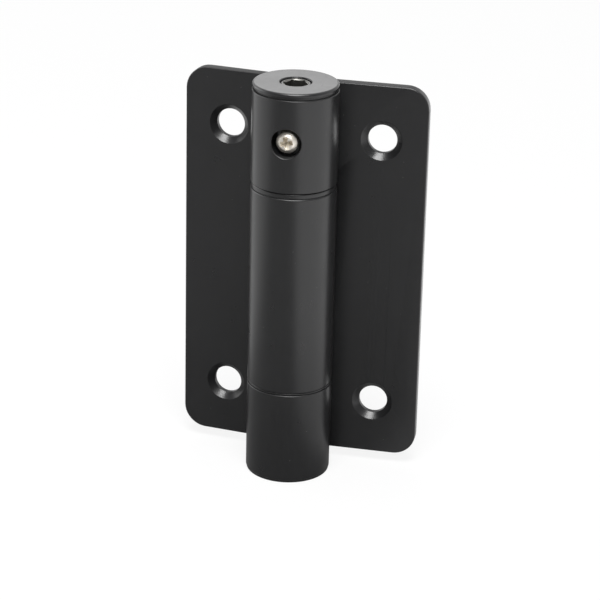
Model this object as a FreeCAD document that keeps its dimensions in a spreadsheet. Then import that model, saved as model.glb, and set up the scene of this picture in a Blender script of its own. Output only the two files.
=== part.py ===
"""Spring loaded door hinge.

Two leaves are rolled from plate and share one upright barrel. The frame leaf carries the top and the
bottom knuckle, the door leaf the long middle one. A torsion spring in the middle knuckle turns the door leaf
back: its upper leg is held by a collar on the tension adjuster, which the lock screw holds in the top
knuckle, and its lower leg by an anchor in the middle knuckle.

Millimetres. The origin is on the hinge axis at the leaves' mid-height, +Z runs up the barrel, the frame leaf
lies along +X and its countersunk face looks along -Y.
"""

import FreeCAD
import Part
import Sketcher

import math
import os

# Places closer together than this count as the same, mm
SAME = 1e-4

# Driving dimensions: alias, value, meaning
SIZES = [
    ("LeafHeight", 88.9, "height of both leaves"),
    ("LeafReach", 28.575, "hinge axis to a leaf's outer edge"),
    ("PlateThick", 2.5, "thickness of the plate"),
    ("BarrelRadius", 9.65, "outer radius of the knuckles"),
    ("LeafCorner", 5.2, "radius of a leaf's outer corners"),
    ("RestFold", 7.4, "angle that the door leaf rests beyond flat"),
    ("ScrewReach", 18.2, "hinge axis to the wood screw holes"),
    ("ScrewEnd", 12.7, "leaf's end to the nearest screw hole"),
    ("ScrewHole", 6.6, "diameter of a wood screw hole"),
    ("ScrewSink", 9.3, "mouth of a countersink"),
    ("SinkAngle", 90.0, "full angle of a countersink"),
    ("KnuckleLength", 21.17, "length of the top and the bottom knuckle"),
    ("KnuckleDrop", 1.855, "bottom knuckle's reach below the leaf"),
    ("KnuckleEase", 0.15, "bevel on a knuckle's ends"),
    ("CurlGap", 0.25, "gap between a knuckle's curled end and the plate"),
    ("NotchGap", 0.4, "radial gap from a plate to the other leaf's knuckle"),
    ("RunGap", 0.15, "gap between faces that pass each other"),
    ("RunClear", 0.05, "radial clearance of a running fit"),
    ("PressClear", 0.02, "radial clearance left in the drawing of a pressed fit"),
    ("UpperFlange", 1.18, "thickness of the upper bush's flange"),
    ("UpperFlangeInset", 0.2, "upper bush's flange inside the barrel's surface"),
    ("UpperSleeve", 5.0, "length of the upper bush's sleeve"),
    ("LowerFlange", 0.4, "thickness of the lower bush's flange"),
    ("LowerFlangeInset", 0.1, "lower bush's flange inside the barrel's surface"),
    ("LowerSleeve", 4.5, "length of the lower bush's sleeve"),
    ("FlangeEase", 0.2, "bevel on the upper bush's flange"),
    ("CapThick", 1.6, "thickness of the top cap"),
    ("CapRelief", 0.45, "height of the relief under the top cap's rim"),
    ("CapReliefDepth", 0.4, "depth of the relief under the top cap's rim"),
    ("CapInset", 0.05, "top cap's rim inside the barrel's surface"),
    ("CapEase", 0.45, "bevel on the top cap's rim"),
    ("CapHole", 3.5, "radius of the top cap's hole"),
    ("CapPlug", 2.2, "depth of a cap's skirt in its knuckle"),
    ("SkirtWall", 1.2, "wall of a cap's skirt"),
    ("FootCapThick", 0.6, "thickness of the bottom cap's rim"),
    ("FootCapInset", 0.15, "bottom cap's rim inside the barrel's surface"),
    ("NeckClear", 0.15, "radial clearance of the adjuster's neck"),
    ("NeckSink", 0.3, "adjuster's top face below the cap's"),
    ("DrumSlide", 0.05, "radial clearance of the adjuster's drum"),
    ("BushWall", 2.1, "wall of both bushes"),
    ("TipStep", 1.4, "shoulder between the adjuster's journal and its tip"),
    ("SocketFlats", 5.0, "hexagon socket across flats"),
    ("SocketDepth", 6.0, "depth of the hexagon socket"),
    ("FlatDepth", 0.4, "depth of the adjuster's flats"),
    ("FlatHalf", 3.2, "half the height of the adjuster's flats"),
    ("FlatCount", 6, "locking flats round the adjuster"),
    ("LockDrop", 9.8, "top knuckle's end to the lock screw"),
    ("WindowRadius", 3.35, "radius of the window in the top knuckle"),
    ("ScrewShank", 1.5, "radius of the lock screw's shank"),
    ("ScrewDepth", 3.8, "length of the lock screw's shank"),
    ("HeadRadius", 2.55, "radius of the lock screw's head"),
    ("HeadHeight", 2.3, "height of the lock screw's head"),
    ("HeadRim", 1.5, "height of the head's straight rim"),
    ("CrossHalf", 1.4, "half the length of the cross recess"),
    ("CrossWeb", 0.4, "half the width of the cross recess"),
    ("CrossDepth", 1.3, "depth of the cross recess"),
    ("WasherThick", 0.8, "thickness of the thrust washer"),
    ("WasherClear", 0.15, "radial clearance of the thrust washer"),
    ("DogHeight", 1.6, "height of a stop dog"),
    ("StopSlack", 3.0, "angle left free at each end of the swing"),
    ("CollarHeight", 5.6, "height of the spring collar"),
    ("CollarGap", 0.4, "radial gap round the spring collar"),
    ("PinRadius", 1.0, "radius of the collar pin"),
    ("PinInset", 0.3, "collar pin's ends below the collar's wall"),
    ("TipWall", 1.08, "wall of the adjuster's tip round the guide rod"),
    ("RodSeat", 2.4, "depth of the guide rod in the adjuster"),
    ("AnchorHeight", 4.5, "height of the spring anchor"),
    ("CoilGap", 1.35, "gap between the coil and the middle knuckle's bore"),
    ("CoilTurns", 6, "turns of the spring"),
    ("WireSide", 1.7, "width of the spring's square wire"),
    ("LegBend", 1.5, "radius of the bend between the coil and a leg"),
    ("LegDepth", 2.6, "depth of a spring leg in its hole"),
    ("LegClear", 0.1, "clearance round and beyond a spring leg"),
    ("RingThick", 0.8, "thickness of the retaining ring"),
    ("RingDepth", 0.6, "depth of the retaining ring's groove"),
    ("RingLip", 1.3, "retaining ring's reach beyond the spindle"),
    ("RingSpan", 320.0, "angle that the retaining ring covers"),
    ("SpindleNose", 0.8, "spindle's end above the retaining ring"),
    ("CutSpare", 1.0, "how far a cut runs past the metal"),
]

# Places and sizes that follow from the driving dimensions: alias, formula, meaning
PLACES = [
    ("LeafTop", "LeafHeight / 2", "upper edge of the leaves"),
    ("LeafBottom", "-LeafHeight / 2", "lower edge of the leaves"),
    ("BoreRadius", "BarrelRadius - PlateThick", "bore of the knuckles and front face of the frame leaf"),
    ("PressRadius", "BoreRadius - PressClear", "outside of what is pressed into a knuckle"),
    ("UpperFlangeRadius", "BarrelRadius - UpperFlangeInset", "radius of the upper bush's flange"),
    ("LowerFlangeRadius", "BarrelRadius - LowerFlangeInset", "radius of the lower bush's flange"),
    ("CapRadius", "BarrelRadius - CapInset", "radius of the top cap"),
    ("FootCapRadius", "BarrelRadius - FootCapInset", "radius of the bottom cap"),
    ("BushBore", "PressRadius - BushWall", "bore of both bushes"),
    ("JournalRadius", "BushBore - RunClear", "radius of both journals"),
    ("TipRadius", "JournalRadius - TipStep", "radius of the adjuster's tip"),
    ("RodHole", "TipRadius - TipWall", "guide rod's hole in the adjuster"),
    ("RodRadius", "RodHole - PressClear", "radius of the guide rod"),
    ("CoilRadius", "BoreRadius - CoilGap - WireSide / 2", "axis to the middle of the spring's wire"),
    ("KnuckleBottom", "LeafBottom - KnuckleDrop", "lower end of the bottom knuckle"),
    ("LowerJoint", "KnuckleBottom + KnuckleLength", "upper end of the bottom knuckle"),
    ("UpperJoint", "LeafTop - KnuckleLength", "lower end of the top knuckle"),
    ("LowerFlangeBottom", "LowerJoint + RunGap", "underside of the lower bush"),
    ("MiddleBottom", "LowerFlangeBottom + LowerFlange", "lower end of the middle knuckle"),
    ("UpperFlangeTop", "UpperJoint - RunGap", "top of the upper bush"),
    ("MiddleTop", "UpperFlangeTop - UpperFlange", "upper end of the middle knuckle"),
    ("NotchReach", "sqrt((BarrelRadius + NotchGap)^2 - BoreRadius^2)", "axis to a plate's inner edge"),
    ("NotchFar", "BarrelRadius + CutSpare", "far side of a notch cut"),
    ("ReachFar", "LeafReach + CutSpare", "outer side of a plate cut"),
    ("CutTop", "LeafTop + CutSpare", "top of the cuts"),
    ("CutBottom", "KnuckleBottom - CutSpare", "bottom of the cuts"),
    ("CurlY", "BoreRadius - CurlGap", "curled end, outer corner"),
    ("CurlX", "sqrt(BarrelRadius^2 - CurlY^2)", "curled end, outer corner"),
    ("CurlInnerY", "CurlY * BoreRadius / BarrelRadius", "curled end, inner corner"),
    ("CurlSpan", "270 deg + atan(CurlY / CurlX)", "angle that a knuckle's curl covers"),
    ("EaseRadius", "BarrelRadius - KnuckleEase", "radius of a knuckle's bevelled end"),
    ("LeafTopEase", "LeafTop - KnuckleEase", "bevel at the top knuckle's upper end"),
    ("UpperJointEase", "UpperJoint + KnuckleEase", "bevel at the top knuckle's lower end"),
    ("MiddleTopEase", "MiddleTop - KnuckleEase", "bevel at the middle knuckle's upper end"),
    ("MiddleBottomEase", "MiddleBottom + KnuckleEase", "bevel at the middle knuckle's lower end"),
    ("LowerJointEase", "LowerJoint - KnuckleEase", "bevel at the bottom knuckle's upper end"),
    ("KnuckleBottomEase", "KnuckleBottom + KnuckleEase", "bevel at the bottom knuckle's lower end"),
    ("ScrewHigh", "LeafTop - ScrewEnd", "upper screw holes"),
    ("ScrewLow", "LeafBottom + ScrewEnd", "lower screw holes"),
    ("ScrewHoleRadius", "ScrewHole / 2", "radius of a wood screw hole"),
    ("CapTop", "LeafTop + CapThick", "top face of the top cap"),
    ("CapReliefTop", "LeafTop + CapRelief", "underside of the top cap's rim"),
    ("CapReliefRadius", "CapRadius - CapReliefDepth", "radius of the relief under the rim"),
    ("SkirtInner", "PressRadius - SkirtWall", "inside of a cap's skirt"),
    ("PlugBottom", "LeafTop - CapPlug", "lower end of the top cap's skirt"),
    ("FootCapBottom", "KnuckleBottom - FootCapThick", "underside of the bottom cap"),
    ("FootPlugTop", "KnuckleBottom + CapPlug", "upper end of the bottom cap's skirt"),
    ("NeckRadius", "CapHole - NeckClear", "adjuster's neck in the cap's hole"),
    ("NeckTop", "CapTop - NeckSink", "adjuster's top face"),
    ("DrumTop", "PlugBottom - RunGap", "upper end of the adjuster's drum"),
    ("DrumBottom", "UpperJoint + WasherThick", "lower end of the adjuster's drum"),
    ("DrumRadius", "BoreRadius - DrumSlide", "adjuster's drum in the top knuckle"),
    ("FlatReach", "DrumRadius - FlatDepth", "axis to the adjuster's flats"),
    ("SocketCorner", "SocketFlats / (2 * cos(30))", "axis to a corner of the hexagon socket"),
    ("LockHeight", "LeafTop - LockDrop", "height of the lock screw"),
    ("FlatTop", "LockHeight + FlatHalf", "upper end of the adjuster's flats"),
    ("FlatBottom", "LockHeight - FlatHalf", "lower end of the adjuster's flats"),
    ("FlatSide", "sqrt(DrumRadius^2 - FlatReach^2) + CutSpare", "half the width of a flat's cut"),
    ("ShankHole", "ScrewShank + PressClear", "radius of the lock screw's tapped hole"),
    ("ShankHoleDepth", "ScrewDepth + LegClear", "depth of the lock screw's tapped hole"),
    ("UpperSleeveEnd", "MiddleTop - UpperSleeve", "lower end of the upper bush's sleeve"),
    ("BushDogEnd", "UpperSleeveEnd - DogHeight", "lower end of the bush's stop dog"),
    ("CollarTop", "BushDogEnd - RunGap", "upper face of the spring collar"),
    ("CollarDogTop", "UpperSleeveEnd - RunGap", "top of the collar's stop dog"),
    ("CollarBottom", "CollarTop - CollarHeight", "lower face of the spring collar"),
    ("CollarRadius", "BoreRadius - CollarGap", "outside of the spring collar"),
    ("CollarBore", "TipRadius + PressClear", "bore of the spring collar"),
    ("DogSpan", "(180 - RestFold) / 2 - StopSlack", "angle of a stop dog"),
    ("PinHeight", "CollarTop - 2 * PinRadius", "height of the collar pin"),
    ("PinHoleRadius", "PinRadius + PressClear", "radius of the pin's hole"),
    ("PinHalf", "CollarRadius - PinInset", "half the length of the collar pin"),
    ("WasherInner", "JournalRadius + WasherClear", "bore of the thrust washer"),
    ("WasherOuter", "BoreRadius - WasherClear", "outside of the thrust washer"),
    ("RodTop", "CollarBottom + RodSeat", "upper end of the guide rod"),
    ("RodBore", "RodRadius + RunClear", "guide rod's bore in the anchor"),
    ("LowerSleeveEnd", "MiddleBottom + LowerSleeve", "upper end of the lower bush's sleeve"),
    ("RingBottom", "LowerSleeveEnd + RunGap", "underside of the retaining ring"),
    ("RingTop", "RingBottom + RingThick", "top of the retaining ring"),
    ("GrooveRadius", "JournalRadius - RingDepth", "bottom of the retaining ring's groove"),
    ("RingRadius", "JournalRadius + RingLip", "outer radius of the retaining ring"),
    ("RingInner", "GrooveRadius + PressClear", "inner radius of the retaining ring"),
    ("SpindleTop", "RingTop + SpindleNose", "upper end of the bottom spindle"),
    ("SpindleBottom", "FootPlugTop + PressClear", "lower end of the bottom spindle"),
    ("AnchorBottom", "SpindleTop + RunGap", "lower face of the spring anchor"),
    ("AnchorTop", "AnchorBottom + AnchorHeight", "upper face of the spring anchor"),
    ("CoilBottom", "AnchorTop + LegBend", "middle of the wire at the coil's lower end"),
    ("CoilTop", "CollarBottom - LegBend", "middle of the wire at the coil's upper end"),
    ("LegHole", "WireSide / sqrt(2) + LegClear", "radius of a spring leg's hole"),
    ("LegHoleDepth", "LegDepth + LegClear", "depth of a spring leg's hole"),
]


def make_sheet(doc):
    """Write every size and place into the document's sheet, each under its alias."""
    sheet = doc.addObject("Spreadsheet::Sheet", "Sizes")
    rows = [(alias, str(value), note) for alias, value, note in SIZES]
    rows += [(alias, "=" + formula, note) for alias, formula, note in PLACES]
    for row, (alias, content, note) in enumerate(rows, start=1):
        sheet.set(f"A{row}", note)
        sheet.setAlias(f"B{row}", alias)
        sheet.set(f"B{row}", content)
    doc.recompute()
    return sheet


class Drawing:
    """A sketch on one of its body's origin planes, held by the sheet's sizes.

    A term is the alias of a size, with a minus sign in front where it is turned round, or "0".
    """

    def __init__(self, body, name, plane="XZ_Plane", height=None):
        self.sheet = body.Document.getObject("Sizes")
        self.sketch = body.newObject("Sketcher::SketchObject", name)
        support = next(item for item in body.Origin.OriginFeatures if item.Role == plane)
        self.sketch.AttachmentSupport = (support, [""])
        self.sketch.MapMode = "FlatFace"
        if height:
            self.sketch.setExpression("AttachmentOffset.Base.z", formula(height))

    def value(self, term):
        """Number that a term stands for."""
        if term == "0":
            return 0.0
        number = float(self.sheet.get(term.lstrip("-")))
        return -number if term.startswith("-") else number

    def add(self, kind, *places, term=None):
        """Add a constraint, tied to a term where one is given."""
        if term is None:
            return self.sketch.addConstraint(Sketcher.Constraint(kind, *places))
        index = self.sketch.addConstraint(Sketcher.Constraint(kind, *places, self.value(term)))
        if term != "0":
            self.sketch.setExpression(f"Constraints[{index}]", formula(term))
        return index

    def outline(self, corners):
        """Closed outline of straight lines through corners, each given by two terms."""
        points = [FreeCAD.Vector(self.value(x), self.value(y), 0) for x, y in corners]
        first = self.sketch.GeometryCount
        for here, after in zip(points, points[1:] + points[:1]):
            self.sketch.addGeometry(Part.LineSegment(here, after))
        for index, (x, y) in enumerate(corners):
            line = first + index
            following = first + (index + 1) % len(corners)
            self.add("Coincident", line, 2, following, 1)
            self.add("DistanceX", -1, 1, line, 1, term=x)
            self.add("DistanceY", -1, 1, line, 1, term=y)
        return self

    def rectangle(self, left, right, bottom, top):
        """Rectangle between four terms."""
        return self.outline([(left, bottom), (right, bottom), (right, top), (left, top)])

    def circle(self, x, y, radius):
        """Circle about a point."""
        centre = FreeCAD.Vector(self.value(x), self.value(y), 0)
        shape = Part.Circle(centre, FreeCAD.Vector(0, 0, 1), self.value(radius))
        index = self.sketch.addGeometry(shape)
        self.add("DistanceX", -1, 1, index, 3, term=x)
        self.add("DistanceY", -1, 1, index, 3, term=y)
        self.add("Radius", index, term=radius)
        return self

    def hexagon(self, corner):
        """Regular hexagon about the origin, with one corner on the X axis."""
        radius = self.value(corner)
        up = FreeCAD.Vector(0, 0, 1)
        ring = self.sketch.addGeometry(Part.Circle(FreeCAD.Vector(), up, radius), True)
        self.add("Coincident", ring, 3, -1, 1)
        self.add("Radius", ring, term=corner)
        turns = [math.radians(60 * index) for index in range(6)]
        points = [FreeCAD.Vector(radius * math.cos(turn), radius * math.sin(turn), 0) for turn in turns]
        sides = [
            self.sketch.addGeometry(Part.LineSegment(here, after))
            for here, after in zip(points, points[1:] + points[:1])
        ]
        for side, following in zip(sides, sides[1:] + sides[:1]):
            self.add("Coincident", side, 2, following, 1)
            self.add("PointOnObject", side, 2, ring)
        for side in sides[1:]:
            self.add("Equal", sides[0], side)
        self.add("PointOnObject", sides[0], 1, -1)
        return self

    def rolled_plate(self, side):
        """Section of a plate that runs into a curled knuckle; side is 1 towards +X and -1 towards -X."""
        sign = "" if side > 0 else "-"
        near, far = (1, 2) if side > 0 else (2, 1)
        curl = math.atan2(self.value("CurlY"), side * self.value("CurlX"))
        turns = (math.pi / 2, curl + 2 * math.pi) if side > 0 else (curl, 5 * math.pi / 2)
        arcs = []
        for radius, tip in (("BarrelRadius", "CurlY"), ("BoreRadius", "CurlInnerY")):
            circle = Part.Circle(FreeCAD.Vector(), FreeCAD.Vector(0, 0, 1), self.value(radius))
            arc = self.sketch.addGeometry(Part.ArcOfCircle(circle, *turns))
            self.add("Coincident", arc, 3, -1, 1)
            self.add("Radius", arc, term=radius)
            self.add("PointOnObject", arc, near, -2)
            self.add("DistanceY", -1, 1, arc, far, term=tip)
            arcs.append(arc)
        outer, inner = arcs
        reach = side * self.value("LeafReach")
        back = self.value("BarrelRadius")
        front = self.value("BoreRadius")
        places = [(0, back), (reach, back), (reach, front), (0, front)]
        points = [FreeCAD.Vector(x, y, 0) for x, y in places]
        lines = [
            self.sketch.addGeometry(Part.LineSegment(here, after))
            for here, after in zip(points, points[1:])
        ]
        tips = [self.sketch.getPoint(arc, far) for arc in arcs]
        lip = self.sketch.addGeometry(Part.LineSegment(*tips))
        self.add("Coincident", lines[0], 1, outer, near)
        self.add("Coincident", lines[0], 2, lines[1], 1)
        self.add("Coincident", lines[1], 2, lines[2], 1)
        self.add("Coincident", lines[2], 2, inner, near)
        self.add("Coincident", lip, 1, outer, far)
        self.add("Coincident", lip, 2, inner, far)
        self.add("Horizontal", lines[0])
        self.add("Vertical", lines[1])
        self.add("Horizontal", lines[2])
        self.add("DistanceX", -1, 1, lines[0], 2, term=sign + "LeafReach")
        return self


def formula(term):
    """Expression for a term."""
    return "-Sizes." + term[1:] if term.startswith("-") else "Sizes." + term


def new_body(doc, label):
    """Body with a label of its own."""
    body = doc.addObject("PartDesign::Body", label)
    body.Label = label
    return body


def feature(body, kind, name, drawing, **sizes):
    """Feature made from a drawing, with each named size tied to its term."""
    made = body.newObject("PartDesign::" + kind, name)
    made.Profile = drawing.sketch
    drawing.sketch.Visibility = False
    for size, term in sizes.items():
        made.setExpression(size, formula(term))
    return made


def turned(body, name, corners):
    """Solid of revolution about Z, from half its section."""
    drawing = Drawing(body, name + "Section").outline(corners)
    made = feature(body, "Revolution", name, drawing)
    made.ReferenceAxis = (drawing.sketch, ["V_Axis"])
    made.Angle = 360
    return made


def cut_through(body, name, drawing, both_ways=True, turned_round=False):
    """Pocket that runs through everything, to both sides of its sketch or to one."""
    made = feature(body, "Pocket", name, drawing)
    made.Type = "ThroughAll"
    made.SideType = "Symmetric" if both_ways else "One side"
    made.Reversed = turned_round
    return made


def edges_where(shape, fits):
    """Names of the edges that a test picks."""
    return [f"Edge{index}" for index, edge in enumerate(shape.Edges, start=1) if fits(edge)]


def is_rim(edge, radius, height):
    """Whether an edge is round about Z with this radius, at this height."""
    curve = edge.Curve
    if not isinstance(curve, Part.Circle) or abs(curve.Radius - radius) > SAME:
        return False
    return abs(curve.Center.z - height) < SAME and abs(abs(curve.Axis.z) - 1) < SAME


def ease(body, kind, name, size, edges, amount):
    """Fillet or chamfer along edges of the body's last feature."""
    base = body.Tip
    made = body.newObject("PartDesign::" + kind, name)
    made.Base = (base, edges)
    made.setExpression(size, formula(amount))
    return made


def ease_rims(body, name, amount, rims):
    """Chamfer along round edges, each given by the terms of its radius and height."""
    body.Document.recompute()
    sheet = body.Document.getObject("Sizes")
    places = [(float(sheet.get(radius)), float(sheet.get(height))) for radius, height in rims]
    shape = body.Tip.Shape
    edges = edges_where(shape, lambda edge: any(is_rim(edge, *place) for place in places))
    return ease(body, "Chamfer", name, "Size", edges, amount)


def round_corners(body, side):
    """Round the two outer corners of a leaf's plate."""
    body.Document.recompute()
    sheet = body.Document.getObject("Sizes")
    reach = side * float(sheet.get("LeafReach"))

    def is_corner(edge):
        first, last = edge.Vertexes[0].Point, edge.Vertexes[-1].Point
        across = abs(first.y - last.y) > SAME and abs(first.z - last.z) < SAME
        return across and abs(first.x - reach) < SAME and abs(last.x - reach) < SAME

    return ease(body, "Fillet", "Corners", "Radius", edges_where(body.Tip.Shape, is_corner), "LeafCorner")


def cut_notch(body, name, side, top, bottom):
    """Clear a leaf's rolled plate away beside the other leaf's knuckle, between two heights."""
    sign, other = ("", "-") if side > 0 else ("-", "")
    drawing = Drawing(body, name + "Shape", "XY_Plane", top).outline([
        (other + "NotchFar", "-NotchFar"), (sign + "NotchFar", "-NotchFar"), (sign + "NotchFar", "BoreRadius"),
        (sign + "NotchReach", "BoreRadius"), (sign + "NotchReach", "NotchFar"), (other + "NotchFar", "NotchFar"),
    ])
    notch = feature(body, "Pocket", name, drawing)
    notch.setExpression("Length", f"{formula(top)} - {formula(bottom)}")
    return notch


def bevel_knuckles(body, side, ends):
    """Bevel the outer rims of a leaf's knuckles round their curl, at the ends that are given."""
    drawing = Drawing(body, "BevelShape", "YZ_Plane")
    for end in ends:
        drawing.outline([("EaseRadius", end), ("BarrelRadius", end), ("BarrelRadius", end + "Ease")])
    groove = feature(body, "Groove", "Bevels", drawing, Angle="CurlSpan")
    groove.ReferenceAxis = (drawing.sketch, ["V_Axis"])
    groove.Reversed = side < 0
    return groove


def drill_screw_holes(body, side):
    """Two countersunk holes for wood screws, sunk from the plate's front face."""
    sign = "" if side > 0 else "-"
    drawing = Drawing(body, "ScrewPlaces", height="-BoreRadius")
    for place in ("ScrewHigh", "ScrewLow"):
        drawing.circle(sign + "ScrewReach", place, "ScrewHoleRadius")
    body.Document.recompute()
    hole = body.newObject("PartDesign::Hole", "ScrewHoles")
    hole.Profile = drawing.sketch
    hole.ThreadType = "None"
    hole.DepthType = "ThroughAll"
    hole.HoleCutType = "Countersink"
    hole.HoleCutCustomValues = True
    hole.setExpression("Diameter", "Sizes.ScrewHole")
    hole.setExpression("HoleCutDiameter", "Sizes.ScrewSink")
    hole.setExpression("HoleCutCountersinkAngle", "Sizes.SinkAngle")
    return hole


def make_frame_leaf(doc):
    """Leaf with the top and the bottom knuckle, and the window for the lock screw."""
    body = new_body(doc, "frame_leaf")
    section = Drawing(body, "Section", "XY_Plane", "KnuckleBottom").rolled_plate(1)
    blank = feature(body, "Pad", "Rolled", section)
    blank.setExpression("Length", "Sizes.LeafTop - Sizes.KnuckleBottom")
    cut_notch(body, "Notch", 1, "UpperJoint", "LowerJoint")
    foot = Drawing(body, "FootShape", "XY_Plane", "LeafBottom")
    foot.rectangle("NotchReach", "ReachFar", "BoreRadius", "NotchFar")
    cut_through(body, "Foot", foot, both_ways=False)
    bevel_knuckles(body, 1, ["LeafTop", "UpperJoint", "LowerJoint", "KnuckleBottom"])
    round_corners(body, 1)
    drill_screw_holes(body, 1)
    window = Drawing(body, "WindowShape").circle("0", "LockHeight", "WindowRadius")
    cut_through(body, "Window", window, both_ways=False, turned_round=True)
    return body


def make_door_leaf(doc):
    """Leaf with the middle knuckle, turned to its rest beyond flat."""
    body = new_body(doc, "door_leaf")
    section = Drawing(body, "Section", "XY_Plane", "LeafBottom").rolled_plate(-1)
    feature(body, "Pad", "Rolled", section, Length="LeafHeight")
    cut_notch(body, "UpperNotch", -1, "CutTop", "MiddleTop")
    cut_notch(body, "LowerNotch", -1, "MiddleBottom", "CutBottom")
    bevel_knuckles(body, -1, ["MiddleTop", "MiddleBottom"])
    round_corners(body, -1)
    drill_screw_holes(body, -1)
    body.Placement = FreeCAD.Placement(FreeCAD.Vector(), FreeCAD.Rotation(FreeCAD.Vector(0, 0, -1), 1))
    body.setExpression("Placement.Rotation.Angle", "Sizes.RestFold")
    return body


def make_top_cap(doc):
    """Disc with a hole for the adjuster and a skirt that is pressed into the top knuckle."""
    body = new_body(doc, "top_cap")
    turned(body, "Disc", [
        ("CapHole", "LeafTop"), ("SkirtInner", "LeafTop"), ("SkirtInner", "PlugBottom"),
        ("PressRadius", "PlugBottom"), ("PressRadius", "LeafTop"), ("CapReliefRadius", "LeafTop"),
        ("CapReliefRadius", "CapReliefTop"), ("CapRadius", "CapReliefTop"), ("CapRadius", "CapTop"),
        ("CapHole", "CapTop"),
    ])
    ease_rims(body, "Rim", "CapEase", [("CapRadius", "CapTop")])
    return body


def make_bottom_cap(doc):
    """Thin disc with a skirt that is pressed into the bottom knuckle."""
    body = new_body(doc, "bottom_cap")
    turned(body, "Disc", [
        ("0", "FootCapBottom"), ("FootCapRadius", "FootCapBottom"), ("FootCapRadius", "KnuckleBottom"),
        ("PressRadius", "KnuckleBottom"), ("PressRadius", "FootPlugTop"), ("SkirtInner", "FootPlugTop"),
        ("SkirtInner", "KnuckleBottom"), ("0", "KnuckleBottom"),
    ])
    return body


def make_tension_adjuster(doc):
    """Stepped spindle: socketed neck, drum with tapped flats, journal and tip."""
    body = new_body(doc, "tension_adjuster")
    turned(body, "Spindle", [
        ("0", "RodTop"), ("RodHole", "RodTop"), ("RodHole", "CollarBottom"),
        ("TipRadius", "CollarBottom"), ("TipRadius", "CollarTop"), ("JournalRadius", "CollarTop"),
        ("JournalRadius", "DrumBottom"), ("DrumRadius", "DrumBottom"), ("DrumRadius", "DrumTop"),
        ("NeckRadius", "DrumTop"), ("NeckRadius", "NeckTop"), ("0", "NeckTop"),
    ])
    socket = Drawing(body, "SocketShape", "XY_Plane", "NeckTop").hexagon("SocketCorner")
    feature(body, "Pocket", "Socket", socket, Length="SocketDepth")
    pin = Drawing(body, "PinShape").circle("0", "PinHeight", "PinHoleRadius")
    cut_through(body, "PinHole", pin)
    face = Drawing(body, "FlatShape", height="FlatReach")
    face.rectangle("-FlatSide", "FlatSide", "FlatBottom", "FlatTop")
    flat = cut_through(body, "Flat", face, both_ways=False, turned_round=True)
    hole = Drawing(body, "ShankShape", height="FlatReach").circle("0", "LockHeight", "ShankHole")
    tapped = feature(body, "Pocket", "ShankBore", hole, Length="ShankHoleDepth")
    pattern = body.newObject("PartDesign::PolarPattern", "Flats")
    pattern.Originals = [flat, tapped]
    pattern.Axis = (face.sketch, ["V_Axis"])
    pattern.Angle = 360
    pattern.setExpression("Occurrences", "Sizes.FlatCount")
    body.Tip = pattern
    return body


def make_lock_screw(doc):
    """Pan head screw with a cross recess, seated on the adjuster's front flat."""
    body = new_body(doc, "lock_screw")
    turned(body, "Screw", [
        ("0", "-ScrewDepth"), ("ScrewShank", "-ScrewDepth"), ("ScrewShank", "0"), ("HeadRadius", "0"),
        ("HeadRadius", "HeadRim"), ("CrossHalf", "HeadHeight"), ("0", "HeadHeight"),
    ])
    half, web = "CrossHalf", "CrossWeb"
    recess = Drawing(body, "CrossShape", "XY_Plane", "HeadHeight").outline([
        (web, half), (web, web), (half, web), (half, "-" + web), (web, "-" + web), (web, "-" + half),
        ("-" + web, "-" + half), ("-" + web, "-" + web), ("-" + half, "-" + web), ("-" + half, web),
        ("-" + web, web), ("-" + web, half),
    ])
    feature(body, "Pocket", "Cross", recess, Length="CrossDepth")
    body.Placement = FreeCAD.Placement(FreeCAD.Vector(), FreeCAD.Rotation(FreeCAD.Vector(1, 0, 0), 90))
    body.setExpression("Placement.Base.y", "-Sizes.FlatReach")
    body.setExpression("Placement.Base.z", "Sizes.LockHeight")
    return body


def make_upper_bush(doc):
    """Flanged bush in the middle knuckle's upper end, with a stop dog below its sleeve."""
    body = new_body(doc, "upper_bush")
    turned(body, "Bush", [
        ("BushBore", "UpperSleeveEnd"), ("PressRadius", "UpperSleeveEnd"), ("PressRadius", "MiddleTop"),
        ("UpperFlangeRadius", "MiddleTop"), ("UpperFlangeRadius", "UpperFlangeTop"),
        ("BushBore", "UpperFlangeTop"),
    ])
    ease_rims(body, "FlangeBevels", "FlangeEase", [
        ("UpperFlangeRadius", "MiddleTop"), ("UpperFlangeRadius", "UpperFlangeTop"),
    ])
    dog = Drawing(body, "DogShape").rectangle("BushBore", "PressRadius", "BushDogEnd", "UpperSleeveEnd")
    add_dog(body, dog, False)
    body.Placement = FreeCAD.Placement(FreeCAD.Vector(), FreeCAD.Rotation(FreeCAD.Vector(0, 0, 1), 1))
    body.setExpression("Placement.Rotation.Angle", "Sizes.StopSlack")
    return body


def add_dog(body, drawing, turned_round):
    """Stop dog: a section turned part of the way round the axis."""
    dog = feature(body, "Revolution", "Dog", drawing, Angle="DogSpan")
    dog.ReferenceAxis = (drawing.sketch, ["V_Axis"])
    dog.Reversed = turned_round
    return dog


def make_lower_bush(doc):
    """Flanged bush in the middle knuckle's lower end."""
    body = new_body(doc, "lower_bush")
    turned(body, "Bush", [
        ("BushBore", "LowerFlangeBottom"), ("LowerFlangeRadius", "LowerFlangeBottom"),
        ("LowerFlangeRadius", "MiddleBottom"), ("PressRadius", "MiddleBottom"),
        ("PressRadius", "LowerSleeveEnd"), ("BushBore", "LowerSleeveEnd"),
    ])
    return body


def make_thrust_washer(doc):
    """Washer between the adjuster's drum and the upper bush."""
    body = new_body(doc, "thrust_washer")
    turned(body, "Washer", [
        ("WasherInner", "UpperJoint"), ("WasherOuter", "UpperJoint"),
        ("WasherOuter", "DrumBottom"), ("WasherInner", "DrumBottom"),
    ])
    return body


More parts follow.
